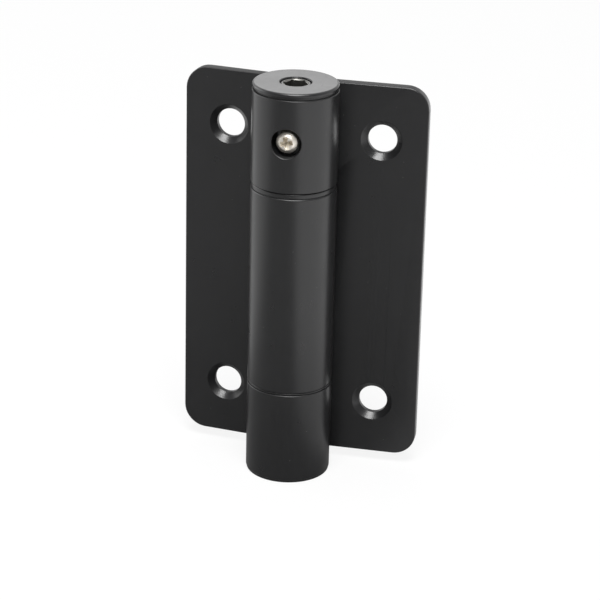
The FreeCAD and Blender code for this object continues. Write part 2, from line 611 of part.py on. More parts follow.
def make_spring_collar(doc):
    """Collar on the adjuster's tip: stop dog above, hole for the spring's upper leg below."""
    body = new_body(doc, "spring_collar")
    turned(body, "Collar", [
        ("CollarBore", "CollarBottom"), ("CollarRadius", "CollarBottom"),
        ("CollarRadius", "CollarTop"), ("CollarBore", "CollarTop"),
    ])
    dog = Drawing(body, "DogShape").rectangle("BushBore", "CollarRadius", "CollarTop", "CollarDogTop")
    add_dog(body, dog, True)
    pin = Drawing(body, "PinShape").circle("0", "PinHeight", "PinHoleRadius")
    cut_through(body, "PinHole", pin)
    leg = Drawing(body, "LegShape", "XY_Plane", "CollarBottom").circle("CoilRadius", "-LegBend", "LegHole")
    bore = feature(body, "Pocket", "LegBore", leg, Length="LegHoleDepth")
    bore.Reversed = True
    return body


def make_collar_pin(doc):
    """Straight pin through the collar and the adjuster's tip, along Y."""
    pin = doc.addObject("Part::Cylinder", "collar_pin")
    pin.Label = "collar_pin"
    pin.setExpression("Radius", "Sizes.PinRadius")
    pin.setExpression("Height", "2 * Sizes.PinHalf")
    pin.Placement = FreeCAD.Placement(FreeCAD.Vector(), FreeCAD.Rotation(FreeCAD.Vector(1, 0, 0), 90))
    pin.setExpression("Placement.Base.y", "Sizes.PinHalf")
    pin.setExpression("Placement.Base.z", "Sizes.PinHeight")
    return pin


def make_guide_rod(doc):
    """Rod inside the coil, seated in the adjuster and free to turn in the anchor."""
    rod = doc.addObject("Part::Cylinder", "guide_rod")
    rod.Label = "guide_rod"
    rod.setExpression("Radius", "Sizes.RodRadius")
    rod.setExpression("Height", "Sizes.RodTop - Sizes.AnchorBottom")
    rod.setExpression("Placement.Base.z", "Sizes.AnchorBottom")
    return rod


def wire_section(centre, across, up):
    """Square section of the spring's wire, from its middle and the ways to two of its sides."""
    points = [centre - across - up, centre + across - up, centre + across + up, centre - across + up]
    return Part.Face(Part.makePolygon(points + points[:1]))


def coil_shape(radius, low, high, turns, wire, bend, leg):
    """Left-handed coil of half turns, each square to its own axis, with a bent leg below and above."""
    right, along, up = FreeCAD.Vector(1, 0, 0), FreeCAD.Vector(0, 1, 0), FreeCAD.Vector(0, 0, 1)
    half = wire / 2
    root = FreeCAD.Vector(radius, 0, low)
    crown = FreeCAD.Vector(radius, 0, high)
    lower_elbow = wire_section(root + (along - up) * bend, right * half, along * half)
    upper_elbow = wire_section(crown + (up - along) * bend, right * half, along * half)
    pieces = [
        lower_elbow.extrude(up * -leg),
        lower_elbow.revolve(root - up * bend, right, 90),
    ]
    step = (high - low) / (2 * turns)
    for index in range(2 * turns):
        side = 1 if index % 2 == 0 else -1
        height = low + index * step
        axis = FreeCAD.Vector(-side * step / 2, 0, -radius).normalize()
        start = FreeCAD.Vector(side * radius, 0, height)
        section = wire_section(start, axis.cross(along) * half, axis * half)
        pieces.append(section.revolve(FreeCAD.Vector(0, 0, height + step / 2), axis, 180))
    crown_section = wire_section(crown, right * half, up * half)
    pieces.append(crown_section.revolve(crown + up * bend, -right, 90))
    pieces.append(upper_elbow.extrude(up * leg))
    return pieces[0].fuse(pieces[1:])


def make_torsion_spring(doc):
    """Left-handed torsion spring, which tightens as the door leaf opens."""
    sheet = doc.getObject("Sizes")
    spring = doc.addObject("Part::Feature", "torsion_spring")
    spring.Label = "torsion_spring"
    spring.Shape = coil_shape(
        radius=float(sheet.get("CoilRadius")),
        low=float(sheet.get("CoilBottom")),
        high=float(sheet.get("CoilTop")),
        turns=int(sheet.get("CoilTurns")),
        wire=float(sheet.get("WireSide")),
        bend=float(sheet.get("LegBend")),
        leg=float(sheet.get("LegDepth")),
    )
    return spring


def make_spring_anchor(doc):
    """Plug in the middle knuckle that takes the spring's lower leg and steadies the guide rod."""
    body = new_body(doc, "spring_anchor")
    turned(body, "Plug", [
        ("RodBore", "AnchorBottom"), ("PressRadius", "AnchorBottom"),
        ("PressRadius", "AnchorTop"), ("RodBore", "AnchorTop"),
    ])
    leg = Drawing(body, "LegShape", "XY_Plane", "AnchorTop").circle("CoilRadius", "LegBend", "LegHole")
    feature(body, "Pocket", "LegBore", leg, Length="LegHoleDepth")
    return body


def make_bottom_spindle(doc):
    """Pivot pressed into the bottom knuckle, with a groove for the retaining ring."""
    body = new_body(doc, "bottom_spindle")
    turned(body, "Spindle", [
        ("0", "SpindleBottom"), ("PressRadius", "SpindleBottom"), ("PressRadius", "LowerJoint"),
        ("JournalRadius", "LowerJoint"), ("JournalRadius", "RingBottom"), ("GrooveRadius", "RingBottom"),
        ("GrooveRadius", "RingTop"), ("JournalRadius", "RingTop"), ("JournalRadius", "SpindleTop"),
        ("0", "SpindleTop"),
    ])
    return body


def make_retaining_ring(doc):
    """Open ring in the spindle's groove, which keeps the door leaf on its pivot."""
    body = new_body(doc, "retaining_ring")
    section = Drawing(body, "RingSection").rectangle("RingInner", "RingRadius", "RingBottom", "RingTop")
    ring = feature(body, "Revolution", "Ring", section, Angle="RingSpan")
    ring.ReferenceAxis = (section.sketch, ["V_Axis"])
    return body


MAKERS = [
    make_frame_leaf,
    make_door_leaf,
    make_top_cap,
    make_bottom_cap,
    make_tension_adjuster,
    make_lock_screw,
    make_upper_bush,
    make_lower_bush,
    make_thrust_washer,
    make_spring_collar,
    make_collar_pin,
    make_guide_rod,
    make_torsion_spring,
    make_spring_anchor,
    make_bottom_spindle,
    make_retaining_ring,
]


def check(doc, parts):
    """Raise where an object of the document or a sub-part's shape has failed."""
    for item in doc.Objects:
        if {"Invalid", "Error"} & set(item.State):
            raise RuntimeError(f"{item.Name} failed: {item.State}")
    for part in parts:
        shape = part.Shape
        if shape.isNull() or not shape.isValid() or len(shape.Solids) != 1:
            raise RuntimeError(f"{part.Label} is not one valid solid")


def main():
    """Build the document, check it and write one file for each sub-part."""
    os.makedirs("parts", exist_ok=True)
    doc = FreeCAD.newDocument("SpringHinge")
    make_sheet(doc)
    parts = [make(doc) for make in MAKERS]
    doc.recompute()
    check(doc, parts)
    for part in parts:
        part.Shape.exportStep(f"parts/{part.Label}.step")
        box = part.Shape.BoundBox
        print(f"{part.Label}: {part.Shape.Volume:.1f} mm3, z {box.ZMin:.2f} to {box.ZMax:.2f}")


main()
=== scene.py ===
"""Spring loaded door hinge, dressed for a studio picture.

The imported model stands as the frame, in metres, with +Z up the barrel. Every piece that shows is rebuilt here
with the soft edges, the recesses and the finish of the real one. Sizes in the classes are in millimetres, and
what the frame tells is read from its nodes.
"""

import logging
import math
from collections.abc import Callable, Iterable, Sequence
from dataclasses import dataclass
from enum import Enum

import bmesh
import bpy
from mathutils import Matrix, Vector


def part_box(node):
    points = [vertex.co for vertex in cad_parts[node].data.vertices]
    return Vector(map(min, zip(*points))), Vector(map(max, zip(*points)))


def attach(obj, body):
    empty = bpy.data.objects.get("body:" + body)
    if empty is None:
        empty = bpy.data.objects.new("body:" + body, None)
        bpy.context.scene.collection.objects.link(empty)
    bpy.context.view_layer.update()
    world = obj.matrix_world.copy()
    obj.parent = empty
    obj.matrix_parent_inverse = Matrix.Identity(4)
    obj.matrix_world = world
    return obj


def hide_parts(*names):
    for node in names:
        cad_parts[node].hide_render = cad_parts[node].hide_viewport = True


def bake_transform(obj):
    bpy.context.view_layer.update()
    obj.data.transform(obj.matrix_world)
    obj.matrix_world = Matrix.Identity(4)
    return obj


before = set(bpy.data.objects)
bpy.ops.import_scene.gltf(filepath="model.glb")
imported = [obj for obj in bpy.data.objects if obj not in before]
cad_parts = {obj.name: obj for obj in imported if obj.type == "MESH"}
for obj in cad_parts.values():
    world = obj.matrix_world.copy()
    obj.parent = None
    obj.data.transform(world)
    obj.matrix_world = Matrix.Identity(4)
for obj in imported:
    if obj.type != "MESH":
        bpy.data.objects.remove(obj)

logging.basicConfig(level=logging.INFO, format="%(message)s")
log = logging.getLogger("hinge")

MM = 0.001
QUARTER = math.pi / 2
# Lengths under this count as nothing, in metres or in millimetres
SAME = 1e-6
# Noise lies mostly between these two shares
NOISE_LOW, NOISE_HIGH = 0.3, 0.7

Corner = tuple[float, float, float]
Place = tuple[float, float]


class Side(Enum):
    """Way that a leaf points from the barrel."""

    RIGHT = 1
    LEFT = -1


class End(Enum):
    """End of the middle knuckle that a bush closes."""

    UPPER = 1
    LOWER = -1


class Axis(Enum):
    """Axis of the frame, as its number in a corner."""

    X = 0
    Y = 1
    Z = 2


class Carving(Enum):
    """What a tool does to the piece that it meets."""

    CUT = "DIFFERENCE"
    JOIN = "UNION"


def span(node: str, axis: Axis = Axis.Z) -> Place:
    """Lowest and highest place of one of the frame's nodes along an axis.

    Args:
        node: the node's name.
        axis: the axis.

    Returns:
        Both places in millimetres, to the micron.
    """
    low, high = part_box(node)
    return round(low[axis.value] / MM, 3), round(high[axis.value] / MM, 3)


# Colour and node helpers


def linear(code: str) -> tuple[float, float, float, float]:
    """Turn an sRGB colour into the linear one that shaders take.

    Args:
        code: colour as #rrggbb.

    Returns:
        Red, green, blue and a full alpha.
    """
    shares = [int(code[start:start + 2], 16) / 255 for start in (1, 3, 5)]
    red, green, blue = (
        share / 12.92 if share <= 0.04045 else ((share + 0.055) / 1.055) ** 2.4 for share in shares
    )
    return red, green, blue, 1.0


def add_node(
    tree: bpy.types.NodeTree, kind: str, settings: dict | None = None, inputs: dict | None = None
) -> bpy.types.Node:
    """Add a node to a tree.

    Args:
        tree: node tree that takes it.
        kind: the node's type.
        settings: properties of the node, by name.
        inputs: constants, or output sockets to link, by the input's name or number.

    Returns:
        The new node.
    """
    node = tree.nodes.new(kind)
    for name, value in (settings or {}).items():
        setattr(node, name, value)
    for key, value in (inputs or {}).items():
        if isinstance(value, bpy.types.NodeSocket):
            tree.links.new(value, node.inputs[key])
        else:
            node.inputs[key].default_value = value
    return node


def new_surface(name: str) -> tuple[bpy.types.Material, bpy.types.NodeTree]:
    """Material with an empty node tree.

    Args:
        name: the material's name.

    Returns:
        The material and its tree.
    """
    material = bpy.data.materials.new(name)
    material.use_nodes = True
    material.node_tree.nodes.clear()
    return material, material.node_tree


def round_axis(
    tree: bpy.types.NodeTree, place: bpy.types.NodeSocket
) -> tuple[bpy.types.NodeSocket, bpy.types.NodeSocket]:
    """Where a point lies as seen from the barrel's axis.

    Args:
        tree: the material's tree.
        place: object coordinates.

    Returns:
        Its distance from the axis, and its height.
    """
    split = add_node(tree, "ShaderNodeSeparateXYZ", inputs={"Vector": place}).outputs
    flat = add_node(tree, "ShaderNodeCombineXYZ", inputs={"X": split["X"], "Y": split["Y"]}).outputs["Vector"]
    reach = add_node(tree, "ShaderNodeVectorMath", {"operation": "LENGTH"}, {0: flat}).outputs["Value"]
    return reach, split["Z"]


# Finishes


@dataclass(frozen=True)
class BlackCoat:
    """Black electrocoat on pressed steel: a thin baked film that hides the metal and shines like satin.

    Sizes are in millimetres. The film is thinner in clouds and along the lines that the rolls drew in the
    plate, and specks of dust are baked into it. Its peel and its grain are really about 0.3 and 0.02 mm
    across, too fine to show, so they are drawn coarser, as the specks are.
    """

    name: str = "black electrocoat on steel"
    film: str = "#121213"
    thin_film: str = "#1a1a1b"
    speck: str = "#747472"
    speck_gap: float = 2.6
    speck_share: float = 0.022
    cloud: float = 6.0
    line: float = 1.6
    line_length: float = 40.0
    line_share: float = 0.3
    peel: float = 0.9
    grain: float = 0.16
    peel_height: float = 0.0035
    grain_height: float = 0.0012
    ior: float = 1.5
    gloss: tuple[float, float] = (0.26, 0.36)
    cut_gloss: float | None = None
    cut_facing: tuple[float, float] = (0.8, 0.97)
    worn_radius: float | None = None
    worn_edge: float = 0.15
    bare: str = "#6e6d6a"
    bare_gloss: float = 0.42

    def wear(self, tree: bpy.types.NodeTree, place: bpy.types.NodeSocket) -> bpy.types.NodeSocket:
        """Say how thin the film is, from clouds and upright lines.

        Args:
            tree: the material's tree.
            place: object coordinates.

        Returns:
            A share around one half.
        """
        clouds = add_node(tree, "ShaderNodeTexNoise", inputs={
            "Vector": place, "Scale": 1 / (self.cloud * MM), "Detail": 5.0, "Roughness": 0.62,
        }).outputs["Fac"]
        upright = add_node(tree, "ShaderNodeVectorMath", {"operation": "MULTIPLY"}, {
            0: place, 1: (1.0, 1.0, self.line / self.line_length),
        }).outputs["Vector"]
        lines = add_node(tree, "ShaderNodeTexNoise", inputs={
            "Vector": upright, "Scale": 1 / (self.line * MM), "Detail": 2.0,
        }).outputs["Fac"]
        return add_node(tree, "ShaderNodeMix", {"data_type": "FLOAT"}, {
            "Factor": self.line_share, "A": clouds, "B": lines,
        }).outputs["Result"]

    def tone(
        self, tree: bpy.types.NodeTree, place: bpy.types.NodeSocket, wear: bpy.types.NodeSocket
    ) -> bpy.types.NodeSocket:
        """Colour the film and its specks.

        Args:
            tree: the material's tree.
            place: object coordinates.
            wear: how thin the film is.

        Returns:
            The colour.
        """
        dots = add_node(tree, "ShaderNodeTexVoronoi", inputs={
            "Vector": place, "Scale": 1 / (self.speck_gap * MM),
        }).outputs["Distance"]
        dusty = add_node(tree, "ShaderNodeMath", {"operation": "LESS_THAN"}, {0: dots, 1: self.speck_share})
        clean = add_node(tree, "ShaderNodeMix", {"data_type": "RGBA"}, {
            "Factor": wear, "A": linear(self.film), "B": linear(self.thin_film),
        }).outputs["Result"]
        return add_node(tree, "ShaderNodeMix", {"data_type": "RGBA"}, {
            "Factor": dusty.outputs[0], "A": clean, "B": linear(self.speck),
        }).outputs["Result"]

    def roughness(
        self, tree: bpy.types.NodeTree, facing: bpy.types.NodeSocket, wear: bpy.types.NodeSocket
    ) -> bpy.types.NodeSocket:
        """Set the shine, which is duller where the film is thin and on sheared edges.

        Args:
            tree: the material's tree.
            facing: the surface's normal in object space.
            wear: how thin the film is.

        Returns:
            The roughness.
        """
        gloss = add_node(tree, "ShaderNodeMapRange", inputs={
            "Value": wear, "From Min": NOISE_LOW, "From Max": NOISE_HIGH,
            "To Min": self.gloss[0], "To Max": self.gloss[1],
        }).outputs["Result"]
        if self.cut_gloss is None:
            return gloss
        up = add_node(tree, "ShaderNodeSeparateXYZ", inputs={"Vector": facing}).outputs["Z"]
        level = add_node(tree, "ShaderNodeMath", {"operation": "ABSOLUTE"}, {0: up}).outputs[0]
        share = add_node(tree, "ShaderNodeMapRange", inputs={
            "Value": level, "From Min": self.cut_facing[0], "From Max": self.cut_facing[1],
        }).outputs["Result"]
        return add_node(tree, "ShaderNodeMix", {"data_type": "FLOAT"}, {
            "Factor": share, "A": gloss, "B": self.cut_gloss,
        }).outputs["Result"]

    def relief(self, tree: bpy.types.NodeTree, place: bpy.types.NodeSocket) -> bpy.types.NodeSocket:
        """Raise the film's orange peel and its grain.

        Args:
            tree: the material's tree.
            place: object coordinates.

        Returns:
            The normal.
        """
        peel = add_node(tree, "ShaderNodeTexNoise", inputs={
            "Vector": place, "Scale": 1 / (self.peel * MM), "Detail": 2.0,
        }).outputs["Fac"]
        grain = add_node(tree, "ShaderNodeTexNoise", inputs={
            "Vector": place, "Scale": 1 / (self.grain * MM), "Detail": 2.0,
        }).outputs["Fac"]
        soft = add_node(tree, "ShaderNodeBump", inputs={
            "Strength": 1.0, "Distance": self.peel_height * MM, "Height": peel,
        }).outputs["Normal"]
        return add_node(tree, "ShaderNodeBump", inputs={
            "Strength": 1.0, "Distance": self.grain_height * MM, "Height": grain, "Normal": soft,
        }).outputs["Normal"]

    def make(self) -> bpy.types.Material:
        """Build the material.

        Returns:
            The black film, with bare metal inside the worn radius where there is one.
        """
        material, tree = new_surface(self.name)
        coordinates = add_node(tree, "ShaderNodeTexCoord").outputs
        place = coordinates["Object"]
        wear = self.wear(tree, place)
        normal = self.relief(tree, place)
        surface = add_node(tree, "ShaderNodeBsdfPrincipled", inputs={
            "Base Color": self.tone(tree, place, wear), "Normal": normal, "IOR": self.ior,
            "Roughness": self.roughness(tree, coordinates["Normal"], wear),
        }).outputs["BSDF"]
        if self.worn_radius is not None:
            reach, _ = round_axis(tree, place)
            worn = add_node(tree, "ShaderNodeMapRange", inputs={
                "Value": reach, "From Min": self.worn_radius * MM,
                "From Max": (self.worn_radius - self.worn_edge) * MM,
            }).outputs["Result"]
            metal = add_node(tree, "ShaderNodeBsdfPrincipled", inputs={
                "Base Color": linear(self.bare), "Metallic": 1.0, "Roughness": self.bare_gloss,
                "Normal": normal,
            }).outputs["BSDF"]
            surface = add_node(tree, "ShaderNodeMixShader", inputs={0: worn, 1: surface, 2: metal}).outputs[0]
        add_node(tree, "ShaderNodeOutputMaterial", inputs={"Surface": surface})
        return material


@dataclass(frozen=True)
class BareMetal:
    """Bare or plated metal with the marks of its making.

    Lathe marks run round the barrel's axis. Real ones are about 0.05 mm apart, too fine to show, so they are
    drawn coarser.
    """

    name: str
    metal: str
    shade: str
    gloss: tuple[float, float]
    marks: float
    mark_height: float

    def make(self) -> bpy.types.Material:
        """Build the material.

        Returns:
            Metal with rings round the axis in its tone, shine and height.
        """
        material, tree = new_surface(self.name)
        place = add_node(tree, "ShaderNodeTexCoord").outputs["Object"]
        reach, height = round_axis(tree, place)
        rings = add_node(tree, "ShaderNodeCombineXYZ", inputs={"X": reach, "Z": height}).outputs["Vector"]
        marks = add_node(tree, "ShaderNodeTexNoise", inputs={
            "Vector": rings, "Scale": 1 / (self.marks * MM), "Detail": 3.0,
        }).outputs["Fac"]
        tone = add_node(tree, "ShaderNodeMix", {"data_type": "RGBA"}, {
            "Factor": marks, "A": linear(self.metal), "B": linear(self.shade),
        }).outputs["Result"]
        gloss = add_node(tree, "ShaderNodeMapRange", inputs={
            "Value": marks, "From Min": NOISE_LOW, "From Max": NOISE_HIGH,
            "To Min": self.gloss[0], "To Max": self.gloss[1],
        }).outputs["Result"]
        normal = add_node(tree, "ShaderNodeBump", inputs={
            "Strength": 1.0, "Distance": self.mark_height * MM, "Height": marks,
        }).outputs["Normal"]
        shader = add_node(tree, "ShaderNodeBsdfPrincipled", inputs={
            "Base Color": tone, "Metallic": 1.0, "Roughness": gloss, "Normal": normal,
        })
        add_node(tree, "ShaderNodeOutputMaterial", inputs={"Surface": shader.outputs["BSDF"]})
        return material


# Bright nickel on the lock screw: pale and a little warm, with the soft sheen of a tumbled screw
NICKEL = BareMetal("bright nickel plate", "#f3efe7", "#e6dfd3", (0.42, 0.52), 0.25, 0.0006)
# Turned steel: grey and satin, with rings left by the lathe
TURNED = BareMetal("turned steel", "#b4b4b2", "#8c8c8c", (0.26, 0.42), 0.22, 0.0020)
# Oil-tempered wire: dark blue-grey scale with a dull shine
TEMPERED = BareMetal("oil tempered spring steel", "#5a5b60", "#3c3d42", (0.34, 0.5), 0.5, 0.0015)
# The black film as it is on the caps and bushes: deep satin black, a little cloudy
COAT = BlackCoat()
# The same film on the leaves, where it covers the torn grain of the sheared edges, which look duller
SHEARED = BlackCoat("black electrocoat on sheared plate", cut_gloss=0.75)
# The same film on the adjuster, scraped off by the key inside the socket, where bare steel glints
KEYED = BlackCoat("black electrocoat worn by the key", worn_radius=3.0)


# Shapes


def soften(corners: Sequence[Corner], steps: int = 5) -> list[Place]:
    """Round the corners of a closed outline.

    Args:
        corners: across, up and rounding radius of each corner, in order.
        steps: straight runs that stand for one rounding.

    Returns:
        Points of the rounded outline.
    """
    points = []
    for index, (across, up, radius) in enumerate(corners):
        here = Vector((across, up))
        if not radius:
            points.append(tuple(here))
            continue
        back = (Vector(corners[index - 1][:2]) - here).normalized()
        onward = (Vector(corners[(index + 1) % len(corners)][:2]) - here).normalized()
        half = back.angle(onward) / 2
        centre = here + (back + onward).normalized() * (radius / math.sin(half))
        start = here + back * (radius / math.tan(half)) - centre
        end = here + onward * (radius / math.tan(half)) - centre
        sweep = -start.angle_signed(end)
        for step in range(steps + 1):
            points.append(tuple(centre + Matrix.Rotation(sweep * step / steps, 2) @ start))
    return points


def turn(section: Sequence[Place], segments: int = 144, reach: Callable | None = None) -> bmesh.types.BMesh:
    """Turn a section about the Z axis into a closed shell.

    Args:
        section: radius and height of its points. Where the radius is nought, the ring is one pole.
        segments: faces round the axis.
        reach: gives a point's radius from its radius, height and angle, where that isn't round.

    Returns:
        The shell, with its faces outwards.
    """
    shell = bmesh.new()
    rings = []
    for radius, height in section:
        if radius < SAME:
            rings.append([shell.verts.new((0, 0, height))])
            continue
        ring = []
        for index in range(segments):
            angle = math.tau * index / segments
            out = reach(radius, height, angle) if reach else radius
            ring.append(shell.verts.new((out * math.cos(angle), out * math.sin(angle), height)))
        rings.append(ring)
    open_ended = len(rings[0]) == 1
    for low, high in zip(rings, rings[1:] if open_ended else rings[1:] + rings[:1]):
        for index in range(segments):
            after = (index + 1) % segments
            corners = [
                low[index % len(low)], low[after % len(low)],
                high[after % len(high)], high[index % len(high)],
            ]
            unique = list(dict.fromkeys(corners))
            if len(unique) > 2:
                shell.faces.new(unique)
    bmesh.ops.recalc_face_normals(shell, faces=shell.faces[:])
    return shell


def slab(
    outline: Sequence[Place], depth: float, roundings: Sequence[float], steps: int = 4
) -> bmesh.types.BMesh:
    """Plate with rounded rims, from an outline that runs counter-clockwise.

    Args:
        outline: corners of the plate, across and up.
        depth: thickness of the plate.
        roundings: radius of the two rims at each corner.
        steps: straight runs that stand for one rounding.

    Returns:
        The closed plate.
    """
    corners = [Vector(point) for point in outline]
    mitres = []
    for index, here in enumerate(corners):
        before = (here - corners[index - 1]).normalized()
        after = (corners[(index + 1) % len(corners)] - here).normalized()
        first, second = Vector((-before.y, before.x)), Vector((-after.y, after.x))
        mitres.append((first + second) / (1 + first.dot(second)))
    arc = [QUARTER * step / steps for step in range(steps + 1)]
    near = [(1 - math.sin(turned), 1 - math.cos(turned), 0.0, 1) for turned in arc]
    far = [(inset, level, depth, -1) for inset, level, _, _ in reversed(near)]
    plate = bmesh.new()
    rings = []
    for inset, level, start, way in near + far:
        ring = []
        for here, mitre, rounding in zip(corners, mitres, roundings):
            place = here + mitre * inset * rounding
            ring.append(plate.verts.new((place.x, place.y, start + way * level * rounding)))
        rings.append(ring)
    for low, high in zip(rings, rings[1:]):
        for index in range(len(corners)):
            after = (index + 1) % len(corners)
            plate.faces.new((low[index], low[after], high[after], high[index]))
    plate.faces.new(rings[0][::-1])
    plate.faces.new(rings[-1])
    bmesh.ops.recalc_face_normals(plate, faces=plate.faces[:])
    return plate


def as_object(name: str, shell: bmesh.types.BMesh) -> bpy.types.Object:
    """Put a shell into the scene as an object at the origin.

    Args:
        name: name of the object and of its mesh.
        shell: the shell, which is used up.

    Returns:
        The object.
    """
    mesh = bpy.data.meshes.new(name)
    shell.to_mesh(mesh)
    shell.free()
    made = bpy.data.objects.new(name, mesh)
    bpy.context.scene.collection.objects.link(made)
    return made


def settle(made: bpy.types.Object) -> None:
    """Make what the modifiers show the object's own mesh, and remove them.

    Args:
        made: the object.
    """
    view = bpy.context.evaluated_depsgraph_get()
    shown = bpy.data.meshes.new_from_object(made.evaluated_get(view), depsgraph=view)
    made.modifiers.clear()
    made.data = shown
    shown.name = made.name


def carve(made: bpy.types.Object, tools: Iterable[bpy.types.Object], action: Carving = Carving.CUT) -> None:
    """Cut tools out of a piece or join them to it, and remove them.

    Args:
        made: the piece.
        tools: closed shells.
        action: whether they cut or join.
    """
    tools = list(tools)
    for tool in tools:
        step = made.modifiers.new("Carving", "BOOLEAN")
        step.operation = action.value
        step.solver = "EXACT"
        step.object = tool
    settle(made)
    for tool in tools:
        bpy.data.objects.remove(tool)


def polish(made: bpy.types.Object, sharp: float = 32.0) -> None:
    """Clean a piece's mesh and shade it smooth, with large faces kept flat.

    Args:
        made: the piece.
        sharp: angle in degrees past which an edge stays sharp.
    """
    shell = bmesh.new()
    shell.from_mesh(made.data)
    bmesh.ops.remove_doubles(shell, verts=shell.verts[:], dist=SAME)
    bmesh.ops.dissolve_degenerate(shell, edges=shell.edges[:], dist=SAME)
    bmesh.ops.triangulate(shell, faces=[face for face in shell.faces if len(face.verts) > 4])
    bmesh.ops.dissolve_degenerate(shell, edges=shell.edges[:], dist=SAME)
    shell.to_mesh(made.data)
    shell.free()
    made.data.shade_smooth()
    made.data.set_sharp_from_angle(angle=math.radians(sharp))
    step = made.modifiers.new("Even", "WEIGHTED_NORMAL")
    step.keep_sharp = True
    settle(made)


def dress(made: bpy.types.Object, material: bpy.types.Material) -> None:
    """Give a piece its one material."""
    made.data.materials.clear()
    made.data.materials.append(material)


def grow(name: str, tree: bpy.types.NodeTree, values: dict) -> bpy.types.Object:
    """Run a Geometry Nodes tree and keep its result as a plain mesh.

    Args:
        name: name of the object.
        tree: tree with named inputs.
        values: value of each named input.

    Returns:
        The object, with its faces outwards.
    """
    made = bpy.data.objects.new(name, bpy.data.meshes.new(name))
    step = made.modifiers.new("Growth", "NODES")
    step.node_group = tree
    for item in tree.interface.items_tree:
        if item.item_type == "SOCKET" and item.in_out == "INPUT":
            step[item.identifier] = values[item.name]
    bpy.context.scene.collection.objects.link(made)
    settle(made)
    shell = bmesh.new()
    shell.from_mesh(made.data)
    bmesh.ops.recalc_face_normals(shell, faces=shell.faces[:])
    shell.to_mesh(made.data)
    shell.free()
    return made


def new_tree(name: str, sizes: dict[str, str]) -> tuple[bpy.types.NodeTree, dict]:
    """Geometry Nodes tree with named inputs.

    Args:
        name: name of the tree.
        sizes: kind of socket of each input, by name.

    Returns:
        The tree, and the output socket of each input by name.
    """
    tree = bpy.data.node_groups.new(name, "GeometryNodeTree")
    for label, kind in sizes.items():
        tree.interface.new_socket(label, in_out="INPUT", socket_type=kind)
    tree.interface.new_socket("Geometry", in_out="OUTPUT", socket_type="NodeSocketGeometry")
    outputs = add_node(tree, "NodeGroupInput").outputs
    return tree, {label: outputs[label] for label in sizes}


# Sub-assemblies


@dataclass(frozen=True)
class Barrel:
    """Sizes that the pieces of the barrel share."""

    radius: float = span("frame_leaf", Axis.Y)[1]
    plate: float = 2.5
    leaf_bottom: float = span("door_leaf")[0]
    leaf_top: float = span("door_leaf")[1]
    knuckle_bottom: float = span("frame_leaf")[0]
    upper_flange: float = span("upper_bush")[1]
    upper_band: float = 1.18
    lower_flange: float = span("lower_bush")[0]
    lower_band: float = 0.4
    run_gap: float = 0.15
    press_gap: float = 0.02
    journal: float = 4.98
    journal_gap: float = 0.05
    flat_reach: float = 6.7
    lock_height: float = sum(span("lock_screw")) / 2

    @property
    def bore(self) -> float:
        """Radius of the knuckles' bore."""
        return self.radius - self.plate

    @property
    def press(self) -> float:
        """Radius of what is pressed into the bore."""
        return self.bore - self.press_gap

    @property
    def bush_bore(self) -> float:
        """Radius of the bushes' bore."""
        return self.journal + self.journal_gap

    @property
    def middle(self) -> float:
        """Radius of the plate's middle layer in a knuckle."""
        return self.radius - self.plate / 2

    @property
    def upper_joint(self) -> float:
        """Height of the top knuckle's lower end."""
        return self.upper_flange + self.run_gap

    @property
    def middle_top(self) -> float:
        """Height of the middle knuckle's upper end, under its bush's flange."""
        return self.upper_flange - self.upper_band

    @property
    def middle_bottom(self) -> float:
        """Height of the middle knuckle's lower end, above its bush's flange."""
        return self.lower_flange + self.lower_band

    @property
    def lower_joint(self) -> float:
        """Height of the bottom knuckle's upper end."""
        return self.lower_flange - self.run_gap


BARREL = Barrel()


